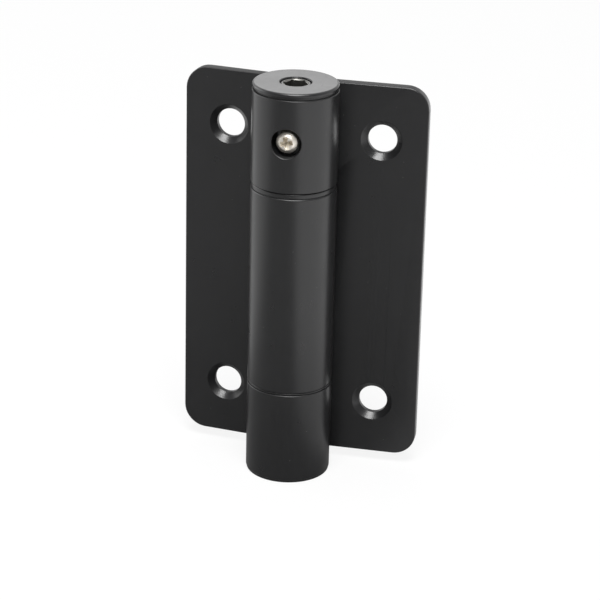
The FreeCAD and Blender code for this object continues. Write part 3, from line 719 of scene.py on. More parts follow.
@dataclass
class RolledLeaf:
    """Leaf pressed from plate, whose knuckles are rolled from the same plate.

    It is made flat, with its edges eased and its holes cut, and then rolled. In the flat blank the first
    coordinate runs from the barrel's back line towards the leaf's outer edge and, below nought, round the
    curl. The second is the height and the third the depth from the plate's outer face. Angles are in
    degrees. Corners of the blank nearer to each other than same_corner are one, and a corner nearer to a bend
    line than on_line lies on it.
    """

    name: str
    node: str
    body: str
    side: Side
    knuckles: tuple[Place, ...]
    window: bool = False
    reach: float = span("frame_leaf", Axis.X)[1]
    corner: float = 5.2
    notch: float = 7.0626
    notch_corner: float = 0.3
    curl: float = 315.645
    fold: float = 0.0
    ease: float = 0.28
    end_ease: float = 0.17
    screw_reach: float = 18.2
    screw_height: float = 31.75
    screw_radius: float = 3.3
    sink_radius: float = 4.65
    sink_depth: float = 1.35
    lip: float = 0.22
    window_radius: float = 3.35
    facet: float = 3.0
    skim: float = 0.003
    spare: float = 1.0
    wall_run: float = 0.4
    same_corner: float = 1e-4
    on_line: float = 1e-5

    def outline(self) -> list[Place]:
        """Outline of the flat blank.

        Returns:
            Its points, counter-clockwise from the lower outer corner.
        """
        end = -BARREL.middle * math.radians(self.curl)
        soft = self.notch_corner
        corners = [(self.reach, BARREL.leaf_bottom, self.corner), (self.reach, BARREL.leaf_top, self.corner)]
        level = BARREL.leaf_top
        for bottom, top in self.knuckles:
            if top != level:
                corners += [(self.notch, level, soft), (self.notch, top, soft)]
            corners += [(end, top, soft), (end, bottom, soft)]
            level = bottom
        corners += [(self.notch, level, soft), (self.notch, BARREL.leaf_bottom, soft)]
        return soften(corners, steps=10)

    def screw_tool(self, height: float) -> bpy.types.Object:
        """Cutter for one countersunk hole, with rounded lips.

        Args:
            height: height of the hole.

        Returns:
            The cutter.
        """
        back, front = -self.skim, BARREL.plate + self.skim
        wide = self.sink_radius + self.spare
        section = soften([
            (0, back - self.spare, 0), (wide, back - self.spare, 0), (wide, back, 0),
            (self.screw_radius, back, self.lip / 2),
            (self.screw_radius, BARREL.plate - self.sink_depth, self.lip),
            (self.sink_radius + self.skim, front, self.lip), (wide, front, 0), (wide, front + self.spare, 0),
            (0, front + self.spare, 0),
        ], steps=6)
        tool = turn(section, segments=96)
        bmesh.ops.translate(tool, verts=tool.verts[:], vec=(self.screw_reach, height, 0))
        return as_object("Countersink", tool)

    def window_tool(self) -> bpy.types.Object:
        """Cutter for the round window in the top knuckle.

        Returns:
            The cutter, bent so that the window's wall runs straight once the blank is rolled.
        """
        outer, inner = -self.skim, BARREL.plate + self.skim
        wide = self.window_radius + self.spare
        section = soften([
            (0, outer - self.spare, 0), (wide, outer - self.spare, 0), (wide, outer, 0),
            (self.window_radius, outer, self.lip), (self.window_radius, inner, self.lip / 2),
            (wide, inner, 0), (wide, inner + self.spare, 0), (0, inner + self.spare, 0),
        ], steps=6)
        rows = []
        for (radius, depth), (onward, deeper) in zip(section, section[1:]):
            runs = max(1, round((deeper - depth) / self.wall_run)) if radius == onward else 1
            rows += [(radius, depth + (deeper - depth) * run / runs) for run in range(runs)]
        tool = turn(rows + section[-1:], segments=96)
        for corner in tool.verts:
            across, up, depth = corner.co
            swing = math.asin(across / (BARREL.radius - depth))
            corner.co = (-BARREL.middle * (math.pi + swing), BARREL.lock_height + up, depth)
        bmesh.ops.triangulate(tool, faces=tool.faces[:])
        bmesh.ops.recalc_face_normals(tool, faces=tool.faces[:])
        return as_object("Window", tool)

    def rolled(self, spot: Vector, normal: Vector) -> tuple[Vector, Vector]:
        """Place and normal on the rolled leaf of a point of the blank.

        Args:
            spot: point of the blank.
            normal: its normal there.

        Returns:
            The point in metres and its normal.
        """
        out = BARREL.radius - spot.z
        swing = max(0.0, -spot.x) / BARREL.middle
        curled = Matrix.Rotation(swing, 3, "Z")
        place = curled @ Vector((max(0.0, spot.x), out, 0)) + Vector((0, 0, spot.y))
        stretch = out / BARREL.middle if spot.x < 0 else 1.0
        facing = curled @ Vector((normal.x / stretch, -normal.z, 0)) + Vector((0, 0, normal.y))
        if self.side is Side.LEFT:
            place.x, facing.x = -place.x, -facing.x
        swung = Matrix.Rotation(-math.radians(self.fold), 3, "Z")
        return swung @ place * MM, (swung @ facing).normalized()

    def roll(self, blank: bpy.types.Object) -> None:
        """Roll a flat blank, with the normals that it had while its faces were flat.

        Args:
            blank: the blank, changed in place.
        """
        sheet = bmesh.new()
        sheet.from_mesh(blank.data)
        for index in range(int(self.curl / self.facet) + 1):
            line = -BARREL.middle * math.radians(self.facet * index)
            everything = sheet.verts[:] + sheet.edges[:] + sheet.faces[:]
            bmesh.ops.bisect_plane(
                sheet, geom=everything, plane_co=(line, 0, 0), plane_no=(1, 0, 0), dist=self.on_line,
            )
        bmesh.ops.remove_doubles(sheet, verts=sheet.verts[:], dist=self.same_corner)
        bmesh.ops.recalc_face_normals(sheet, faces=sheet.faces[:])
        normals = []
        for corner in sheet.verts:
            facing = sum((face.normal * face.calc_area() for face in corner.link_faces), Vector())
            corner.co, normal = self.rolled(corner.co.copy(), facing.normalized())
            normals.append(normal)
        bmesh.ops.recalc_face_normals(sheet, faces=sheet.faces[:])
        sheet.to_mesh(blank.data)
        sheet.free()
        blank.data.shade_smooth()
        blank.data.normals_split_custom_set_from_vertices(normals)

    def build(self, material: bpy.types.Material) -> bpy.types.Object:
        """Make the leaf.

        Args:
            material: its finish.

        Returns:
            The leaf.
        """
        outline = self.outline()
        roundings = [
            self.ease if across > self.notch - self.notch_corner else self.end_ease for across, _ in outline
        ]
        leaf = as_object(self.name, slab(outline, BARREL.plate, roundings))
        tools = [self.screw_tool(height) for height in (self.screw_height, -self.screw_height)]
        if self.window:
            tools.append(self.window_tool())
        carve(leaf, tools)
        self.roll(leaf)
        dress(leaf, material)
        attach(leaf, self.body)
        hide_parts(self.node)
        return leaf


@dataclass
class BarrelCaps:
    """Discs that close the barrel, each with a skirt pressed into its knuckle."""

    top_inset: float = 0.05
    rim: float = 0.6
    taper: float = 0.18
    relief: float = 0.4
    relief_height: float = 0.45
    hole: float = 3.5
    hole_ease: float = 0.3
    foot_inset: float = 0.15
    wall: float = 1.2
    soft: float = 0.12

    @property
    def skirt(self) -> float:
        """Inner radius of both skirts."""
        return BARREL.press - self.wall

    def top_section(self) -> list[Corner]:
        """Half the top cap's section: its skirt, the relief under its rim and its hole.

        Returns:
            The corners, from the hole's lower edge.
        """
        plug_bottom, level = span("top_cap")
        radius, soft = BARREL.radius - self.top_inset, self.soft
        relief, under = radius - self.relief, radius - self.taper
        relief_level = BARREL.leaf_top + self.relief_height
        return [
            (self.hole, BARREL.leaf_top, soft), (self.skirt, BARREL.leaf_top, 0),
            (self.skirt, plug_bottom, soft), (BARREL.press, plug_bottom, soft),
            (BARREL.press, BARREL.leaf_top, 0), (relief, BARREL.leaf_top, soft),
            (relief, relief_level, soft / 2), (under, relief_level, soft),
            (radius, level - self.rim - soft, soft), (radius, level, self.rim),
            (self.hole, level, self.hole_ease),
        ]

    def foot_section(self) -> list[Corner]:
        """Half the bottom cap's section: a plain disc with its skirt.

        Returns:
            The corners, from the middle of its underside.
        """
        level, plug_top = span("bottom_cap")
        radius, soft = BARREL.radius - self.foot_inset, self.soft
        return [
            (0, level, 0), (radius, level, 2 * soft), (radius, BARREL.knuckle_bottom, soft),
            (BARREL.press, BARREL.knuckle_bottom, 0), (BARREL.press, plug_top, soft),
            (self.skirt, plug_top, soft), (self.skirt, BARREL.knuckle_bottom, 0),
            (0, BARREL.knuckle_bottom, 0),
        ]

    def finish(
        self, name: str, node: str, section: list[Corner], material: bpy.types.Material
    ) -> bpy.types.Object:
        """Turn one cap and hand it to the barrel.

        Args:
            name: the piece's name.
            node: the node that it replaces.
            section: corners of half its section.
            material: its finish.

        Returns:
            The cap.
        """
        cap = turn([(radius * MM, height * MM) for radius, height in soften(section, steps=7)])
        made = as_object(name, cap)
        polish(made)
        dress(made, material)
        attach(made, "frame")
        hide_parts(node)
        return made

    def build(self, material: bpy.types.Material) -> list[bpy.types.Object]:
        """Make both caps.

        Args:
            material: their finish.

        Returns:
            The top cap and the bottom cap.
        """
        return [
            self.finish("top_cap_disc", "top_cap", self.top_section(), material),
            self.finish("bottom_cap_disc", "bottom_cap", self.foot_section(), material),
        ]


@dataclass
class FlangedBush:
    """Bush pressed into an end of the middle knuckle, whose flange shows as a band in the barrel.

    The flange's rim stays inside the barrel's surface by the inset.
    """

    name: str
    node: str
    end: End
    inset: float
    sleeve: float
    rounding: float
    has_dog: bool = False
    dog_start: float = 3.0
    dog_span: float = 83.3
    dog_runs: int = 24
    overlap: float = 0.5
    bore_ease: float = 0.15
    sleeve_ease: float = 0.1

    def dog(self, bottom: float, top: float) -> bpy.types.Object:
        """Stop dog below the sleeve, a block that follows the barrel's curve.

        Args:
            bottom: height of its lower end.
            top: height of its upper end, inside the sleeve.

        Returns:
            The block.
        """
        inner, outer = BARREL.bush_bore, BARREL.press
        block = bmesh.new()
        rings = []
        for run in range(self.dog_runs + 1):
            angle = math.radians(self.dog_start + self.dog_span * run / self.dog_runs)
            heading = Vector((math.cos(angle), math.sin(angle), 0))
            places = [(inner, bottom), (outer, bottom), (outer, top), (inner, top)]
            rings.append([block.verts.new((heading * out + Vector((0, 0, up))) * MM) for out, up in places])
        for near, far in zip(rings, rings[1:]):
            for index in range(4):
                after = (index + 1) % 4
                block.faces.new((near[index], near[after], far[after], far[index]))
        block.faces.new(rings[0])
        block.faces.new(rings[-1])
        bmesh.ops.recalc_face_normals(block, faces=block.faces[:])
        return as_object("Dog", block)

    def build(self, material: bpy.types.Material) -> bpy.types.Object:
        """Make the bush.

        Args:
            material: its finish.

        Returns:
            The bush.
        """
        low, high = span(self.node)
        outside, inside = (high, BARREL.middle_top) if self.end is End.UPPER else (low, BARREL.middle_bottom)
        flange = BARREL.radius - self.inset
        sleeve_end = inside - self.end.value * self.sleeve
        section = soften([
            (BARREL.bush_bore, outside, self.bore_ease), (flange, outside, self.rounding),
            (flange, inside, self.rounding), (BARREL.press, inside, 0),
            (BARREL.press, sleeve_end, self.sleeve_ease), (BARREL.bush_bore, sleeve_end, self.sleeve_ease),
        ], steps=6)
        made = as_object(self.name, turn([(radius * MM, height * MM) for radius, height in section]))
        if self.has_dog:
            carve(made, [self.dog(low, sleeve_end + self.overlap)], Carving.JOIN)
        polish(made)
        dress(made, material)
        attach(made, "door")
        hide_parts(self.node)
        return made


@dataclass
class TensionAdjuster:
    """Stepped spindle: socketed neck, drum with flats and tapped holes, journal and tip."""

    drum: float = span("tension_adjuster", Axis.X)[1]
    drum_top: float = 42.1
    drum_bottom: float = span("thrust_washer")[1]
    drum_ease: float = 0.4
    drum_foot_ease: float = 0.25
    neck: float = 3.35
    neck_top: float = span("tension_adjuster")[1]
    neck_ease: float = 0.3
    tip: float = 3.58
    tip_top: float = 15.2
    tip_bottom: float = span("tension_adjuster")[0]
    tip_ease: float = 0.2
    rod_hole: float = 2.5
    rod_top: float = 12.0
    rod_ease: float = 0.15
    flats: int = 6
    flat_half: float = 3.2
    tapped: float = 1.52
    tapped_depth: float = 3.9
    tapped_point: float = 0.5
    sink: float = 0.3
    sink_depth: float = 0.25
    sink_over: float = 0.05
    past_flat: float = 0.3
    across_flats: float = 5.0
    socket_depth: float = 6.0
    socket_point: float = 0.6
    point_step: float = 0.35
    point_share: float = 0.5
    mouth: float = 0.22
    pin_height: float = 13.2
    pin_hole: float = 1.02
    spare: float = 1.2

    @property
    def socket_corner(self) -> float:
        """Distance of the socket's corners from the axis."""
        return self.across_flats / 2 / math.cos(math.pi / 6)

    def socket_tool(self) -> bpy.types.Object:
        """Cutter for the hexagon socket.

        Returns:
            The cutter, with the drill's point below the hexagon.
        """
        corner, floor = self.socket_corner, self.neck_top - self.socket_depth
        tool = turn([
            (0, floor - self.socket_point), (corner * self.point_share, floor - self.point_step),
            (corner, floor), (corner, self.neck_top + self.spare), (0, self.neck_top + self.spare),
        ], segments=6)
        bmesh.ops.scale(tool, verts=tool.verts[:], vec=(MM, MM, MM))
        return as_object("Socket", tool)

    def mouth_tool(self) -> bpy.types.Object:
        """Cutter for the round chamfer at the socket's mouth.

        Returns:
            The cutter.
        """
        corner = self.socket_corner
        section = [
            (0, self.neck_top - self.mouth * 2), (corner - self.mouth, self.neck_top - self.mouth),
            (corner + self.mouth, self.neck_top + self.mouth), (0, self.neck_top + self.mouth),
        ]
        tool = turn([(radius * MM, height * MM) for radius, height in section], segments=72)
        return as_object("Mouth", tool)

    def ring_tree(self) -> bpy.types.NodeTree:
        """Geometry Nodes tree that sets copies of a tool evenly round the barrel's axis.

        Returns:
            The tree.
        """
        tree, given = new_tree("Tools round the axis", {
            "Count": "NodeSocketInt", "Tool": "NodeSocketObject", "Finish": "NodeSocketMaterial",
        })
        index = add_node(tree, "GeometryNodeInputIndex").outputs["Index"]
        step = add_node(tree, "ShaderNodeMath", {"operation": "DIVIDE"}, {0: math.tau, 1: given["Count"]})
        angle = add_node(tree, "ShaderNodeMath", {"operation": "MULTIPLY"}, {0: step.outputs[0], 1: index})
        turned = add_node(tree, "ShaderNodeCombineXYZ", inputs={"Z": angle.outputs[0]})
        points = add_node(tree, "GeometryNodePoints", inputs={"Count": given["Count"]})
        tool = add_node(tree, "GeometryNodeObjectInfo", inputs={"Object": given["Tool"], "As Instance": True})
        copies = add_node(tree, "GeometryNodeInstanceOnPoints", inputs={
            "Points": points.outputs[0], "Instance": tool.outputs["Geometry"], "Rotation": turned.outputs[0],
        })
        solid = add_node(tree, "GeometryNodeRealizeInstances", inputs={0: copies.outputs[0]})
        finished = add_node(tree, "GeometryNodeSetMaterial", inputs={
            0: solid.outputs[0], "Material": given["Finish"],
        })
        add_node(tree, "NodeGroupOutput", inputs={"Geometry": finished.outputs[0]})
        return tree

    def cross_tool(self, section: list[Place], height: float, segments: int) -> bmesh.types.BMesh:
        """Turned cutter that lies across the spindle and points along -Y.

        Args:
            section: radius and distance along the cutter's axis of its points, from the barrel's axis.
            height: height of the cutter's axis.
            segments: faces round it.

        Returns:
            The cutter.
        """
        tool = turn(section, segments=segments)
        turned = Matrix.Translation((0, 0, height)) @ Matrix.Rotation(QUARTER, 4, "X")
        bmesh.ops.transform(tool, matrix=Matrix.Scale(MM, 4) @ turned, verts=tool.verts[:])
        return tool

    def flat_tool(self) -> bpy.types.Object:
        """Block that mills one flat.

        Returns:
            The cutter.
        """
        half = math.sqrt(self.drum ** 2 - BARREL.flat_reach ** 2) + self.spare / 2
        block = bmesh.new()
        bmesh.ops.create_cube(block, size=1)
        depth = self.drum - BARREL.flat_reach + self.spare
        bmesh.ops.scale(block, verts=block.verts[:], vec=(2 * half * MM, depth * MM, 2 * self.flat_half * MM))
        middle = Vector((0, -(BARREL.flat_reach + depth / 2), BARREL.lock_height)) * MM
        bmesh.ops.translate(block, verts=block.verts[:], vec=middle)
        return as_object("Flat", block)

    def hole_tool(self) -> bpy.types.Object:
        """Cutter for one tapped hole.

        Returns:
            The cutter, with a countersunk mouth and the drill's point.
        """
        face, wide = BARREL.flat_reach, self.tapped + self.sink
        tip = face - self.tapped_depth
        section = [
            (0, tip), (self.tapped, tip + self.tapped_point), (self.tapped, face - self.sink_depth),
            (wide, face + self.sink_over), (wide, face + self.past_flat), (0, face + self.past_flat),
        ]
        return as_object("Tapped", self.cross_tool(section, BARREL.lock_height, segments=32))

    def pin_tool(self) -> bpy.types.Object:
        """Cutter for the collar pin's hole through the tip.

        Returns:
            The cutter.
        """
        reach = self.tip + self.spare
        section = [(0, -reach), (self.pin_hole, -reach), (self.pin_hole, reach), (0, reach)]
        return as_object("Pin", self.cross_tool(section, self.pin_height, segments=48))

    def build(self, material: bpy.types.Material) -> bpy.types.Object:
        """Make the adjuster.

        Args:
            material: its finish.

        Returns:
            The adjuster.
        """
        section = soften([
            (0, self.rod_top, 0), (self.rod_hole, self.rod_top, 0),
            (self.rod_hole, self.tip_bottom, self.rod_ease), (self.tip, self.tip_bottom, self.tip_ease),
            (self.tip, self.tip_top, 0), (BARREL.journal, self.tip_top, self.tip_ease),
            (BARREL.journal, self.drum_bottom, 0), (self.drum, self.drum_bottom, self.drum_foot_ease),
            (self.drum, self.drum_top, self.drum_ease), (self.neck, self.drum_top, 0),
            (self.neck, self.neck_top, self.neck_ease), (0, self.neck_top, 0),
        ])
        made = as_object("tension_spindle", turn([(radius * MM, height * MM) for radius, height in section]))
        tree = self.ring_tree()
        tools = []
        for tool in (self.flat_tool(), self.hole_tool()):
            ring = grow(tool.name + "Ring", tree, {"Count": self.flats, "Tool": tool, "Finish": material})
            bpy.data.objects.remove(tool)
            tools.append(ring)
        carve(made, [*tools, self.socket_tool(), self.mouth_tool(), self.pin_tool()])
        polish(made, sharp=28)
        dress(made, material)
        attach(made, "frame")
        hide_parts("tension_adjuster")
        return made


@dataclass
class LockScrew:
    """Pan head screw with a cross recess and a machine thread.

    Heights run along its axis from the face that the head sits on. Each pair of shares is for the recess's
    floor and for its mouth.
    """

    shank: float = 1.49
    length: float = 3.8
    point: float = 0.2
    point_share: float = 0.8
    pitch: float = 0.5
    rings_a_turn: int = 8
    thread: float = 0.22
    plain: float = 0.35
    run_out: float = 0.25
    head: float = 2.44
    seat_ease: float = 0.08
    rim: float = 1.5
    rim_ease: float = 0.3
    crown: float = 1.5
    crown_ease: float = 0.8
    height: float = 2.3
    wing: float = 1.42
    wing_shares: tuple[float, float] = (0.15, 1.1)
    web: float = 0.48
    web_shares: tuple[float, float] = (0.45, 1.15)
    recess: float = 2.0
    over: float = 0.12
    floor_step: float = 0.03
    twist: float = 12.0

    def ridge(self, radius: float, height: float, angle: float) -> float:
        """Radius of the threaded shank.

        Args:
            radius: the section's radius.
            height: distance from the head.
            angle: way round.

        Returns:
            The radius there, with the groove taken off below the head.
        """
        if radius > self.shank + SAME or height > -self.plain or height <= -self.length:
            return radius
        turned = (height / self.pitch - angle / math.tau) % 1.0
        fade = min(1.0, (-self.plain - height) / self.run_out)
        return radius - self.thread * fade * abs(2 * turned - 1)

    def wing_tool(self, quarter: bool) -> bpy.types.Object:
        """Tapered block that cuts two wings of the recess.

        The one that is turned goes a touch deeper, so that the two floors don't share a plane.

        Args:
            quarter: whether it is turned a quarter round the screw.

        Returns:
            The cutter.
        """
        floor = self.height - self.recess - self.floor_step * quarter
        block = bmesh.new()
        bmesh.ops.create_cube(block, size=2)
        for corner in block.verts:
            end = 0 if corner.co.z < 0 else 1
            corner.co.x *= self.wing * self.wing_shares[end]
            corner.co.y *= self.web * self.web_shares[end]
            corner.co.z = (floor, self.height + self.over)[end]
        if quarter:
            turned = Matrix.Rotation(QUARTER, 3, "Z")
            bmesh.ops.rotate(block, verts=block.verts[:], cent=(0, 0, 0), matrix=turned)
        return as_object("Wing", block)

    def build(self, material: bpy.types.Material) -> bpy.types.Object:
        """Make the screw, seated on the adjuster's front flat.

        Args:
            material: its finish.

        Returns:
            The screw.
        """
        rings = self.rings_a_turn * round(self.length / self.pitch)
        shank = [(self.shank, -self.length * (1 - ring / rings)) for ring in range(rings)]
        dome = soften([
            (self.head, 0, self.seat_ease), (self.head, self.rim, self.rim_ease),
            (self.crown, self.height, self.crown_ease), (0, self.height, 0), (0, 0, 0),
        ], steps=8)[:-1]
        point = [(0, -self.length - self.point), (self.shank * self.point_share, -self.length)]
        section = [*point, *shank, (self.shank, 0), *dome]
        made = as_object("cross_recess_screw", turn(section, segments=96, reach=self.ridge))
        carve(made, [self.wing_tool(False), self.wing_tool(True)])
        twist = Matrix.Rotation(math.radians(self.twist), 4, "Z")
        place = Matrix.Translation((0, -BARREL.flat_reach, BARREL.lock_height))
        made.data.transform(Matrix.Scale(MM, 4) @ place @ Matrix.Rotation(QUARTER, 4, "X") @ twist)
        polish(made)
        dress(made, material)
        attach(made, "frame")
        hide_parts("lock_screw")
        return made


@dataclass
class CoilSpring:
    """Left-handed torsion spring of square wire with a bent leg at each end."""

    turns: int = 6
    radius: float = 4.95
    wire: float = 1.7
    rounding: float = 0.3
    rounding_steps: int = 4
    bend: float = 1.5
    leg: float = 2.6
    points: int = 300

    @property
    def low(self) -> float:
        """Height where the coil starts, above its lower leg."""
        return span("torsion_spring")[0] + self.bend + self.leg

    @property
    def high(self) -> float:
        """Height where the coil ends, below its upper leg."""
        return span("torsion_spring")[1] - self.bend - self.leg

    def tree(self) -> bpy.types.NodeTree:
        """Geometry Nodes tree of the wire.

        A point's place along the wire is held to the coil, and what is left over runs out into the leg: first
        round the bend, then straight. Lengths before the coil are below nought.

        Returns:
            The tree.
        """
        tree, known = new_tree("Wire that is coiled", {
            "Turns": "NodeSocketFloat", "Radius": "NodeSocketFloat", "Low": "NodeSocketFloat",
            "High": "NodeSocketFloat", "Wire": "NodeSocketFloat", "Rounding": "NodeSocketFloat",
            "Bend": "NodeSocketFloat", "Leg": "NodeSocketFloat", "Points": "NodeSocketInt",
            "Finish": "NodeSocketMaterial",
        })
        known["index"] = add_node(tree, "GeometryNodeInputIndex").outputs["Index"]
        steps = [
            ("swept", "MULTIPLY", "Turns", -math.tau), ("round", "MULTIPLY", "swept", "Radius"),
            ("coil", "ABSOLUTE", "round", 0.0), ("bent", "MULTIPLY", "Bend", QUARTER),
            ("end", "ADD", "bent", "Leg"), ("ends", "MULTIPLY", "end", 2.0), ("whole", "ADD", "coil", "ends"),
            ("last", "SUBTRACT", "Points", 1.0), ("pace", "DIVIDE", "whole", "last"),
            ("walked", "MULTIPLY", "index", "pace"), ("along", "SUBTRACT", "walked", "end"),
            ("from_start", "MAXIMUM", "along", 0.0), ("held", "MINIMUM", "from_start", "coil"),
            ("over", "SUBTRACT", "along", "held"), ("share", "DIVIDE", "held", "coil"),
            ("angle", "MULTIPLY", "share", "swept"), ("climb", "SUBTRACT", "High", "Low"),
            ("risen", "MULTIPLY", "climb", "share"), ("height", "ADD", "risen", "Low"),
            ("cosine", "COSINE", "angle", 0.0), ("sine", "SINE", "angle", 0.0),
            ("coil_x", "MULTIPLY", "cosine", "Radius"), ("coil_y", "MULTIPLY", "sine", "Radius"),
            ("swing", "DIVIDE", "over", "Bend"), ("not_past", "MINIMUM", "swing", QUARTER),
            ("turned", "MAXIMUM", "not_past", -QUARTER), ("out", "SINE", "turned", 0.0),
            ("outward", "MULTIPLY", "out", "Bend"), ("y", "SUBTRACT", "coil_y", "outward"),
            ("inward", "COSINE", "turned", 0.0), ("drop", "SUBTRACT", 1.0, "inward"),
            ("fall", "MULTIPLY", "drop", "Bend"), ("way", "SIGN", "over", 0.0),
            ("curved", "MULTIPLY", "fall", "way"), ("used", "MULTIPLY", "turned", "Bend"),
            ("straight", "SUBTRACT", "over", "used"), ("leg_z", "ADD", "curved", "straight"),
            ("z", "ADD", "height", "leg_z"),
        ]
        for name, operation, first, second in steps:
            terms = {0: known.get(first, first), 1: known.get(second, second)}
            known[name] = add_node(tree, "ShaderNodeMath", {"operation": operation}, terms).outputs[0]
        place = add_node(tree, "ShaderNodeCombineXYZ", inputs={
            "X": known["coil_x"], "Y": known["y"], "Z": known["z"],
        })
        facing = add_node(tree, "ShaderNodeCombineXYZ", inputs={"X": known["cosine"], "Y": known["sine"]})
        line = add_node(tree, "GeometryNodeMeshLine", inputs={"Count": known["Points"]})
        laid = add_node(tree, "GeometryNodeSetPosition", inputs={
            0: line.outputs[0], "Position": place.outputs[0],
        })
        path = add_node(tree, "GeometryNodeMeshToCurve", inputs={0: laid.outputs[0]})
        level = add_node(tree, "GeometryNodeSetCurveNormal", {"mode": "FREE"}, {
            "Curve": path.outputs[0], "Normal": facing.outputs[0],
        })
        square = add_node(tree, "GeometryNodeCurvePrimitiveQuadrilateral", inputs={
            "Width": known["Wire"], "Height": known["Wire"],
        })
        soft = add_node(tree, "GeometryNodeFilletCurve", {"mode": "POLY"}, {
            "Curve": square.outputs[0], "Count": self.rounding_steps, "Radius": known["Rounding"],
        })
        wire = add_node(tree, "GeometryNodeCurveToMesh", inputs={
            "Curve": level.outputs[0], "Profile Curve": soft.outputs[0], "Fill Caps": True,
        })
        solid = add_node(tree, "GeometryNodeRealizeInstances", inputs={0: wire.outputs[0]})
        finished = add_node(tree, "GeometryNodeSetMaterial", inputs={
            0: solid.outputs[0], "Material": known["Finish"],
        })
        add_node(tree, "NodeGroupOutput", inputs={"Geometry": finished.outputs[0]})
        return tree

    def build(self, material: bpy.types.Material) -> bpy.types.Object:
        """Make the spring.

        Args:
            material: its finish.

        Returns:
            The spring.
        """
        made = grow("coiled_wire", self.tree(), {
            "Turns": float(self.turns), "Radius": self.radius * MM, "Low": self.low * MM,
            "High": self.high * MM, "Wire": self.wire * MM, "Rounding": self.rounding * MM,
            "Bend": self.bend * MM, "Leg": self.leg * MM, "Points": self.points, "Finish": material,
        })
        polish(made)
        dress(made, material)
        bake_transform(made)
        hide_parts("torsion_spring")
        return made


@dataclass(frozen=True)
class Lamp:
    """Soft round lamp that faces the hinge, its place and width in metres and its power in watts."""

    name: str
    place: tuple[float, float, float]
    width: float
    power: float

    def hang(self) -> None:
        """Hang the lamp, out of the camera's sight."""
        data = bpy.data.lights.new(self.name, "AREA")
        data.shape = "DISK"
        data.size = self.width
        data.energy = self.power
        made = bpy.data.objects.new(self.name, data)
        aim = Vector(self.place).to_track_quat("Z", "Y")
        made.matrix_world = Matrix.Translation(self.place) @ aim.to_matrix().to_4x4()
        made.visible_camera = False
        bpy.context.scene.collection.objects.link(made)


LAMPS = (
    Lamp("Overhead lamp", (-0.25, 0.95, 0.75), width=0.8, power=3.6),
    Lamp("Left lamp", (-1.1, 0.15, 0.25), width=1.0, power=5.0),
    Lamp("Top lamp", (0.07, -0.4, 0.95), width=0.6, power=14.0),
    Lamp("Front lamp", (0.35, -1.1, 0.9), width=0.8, power=3.0),
)


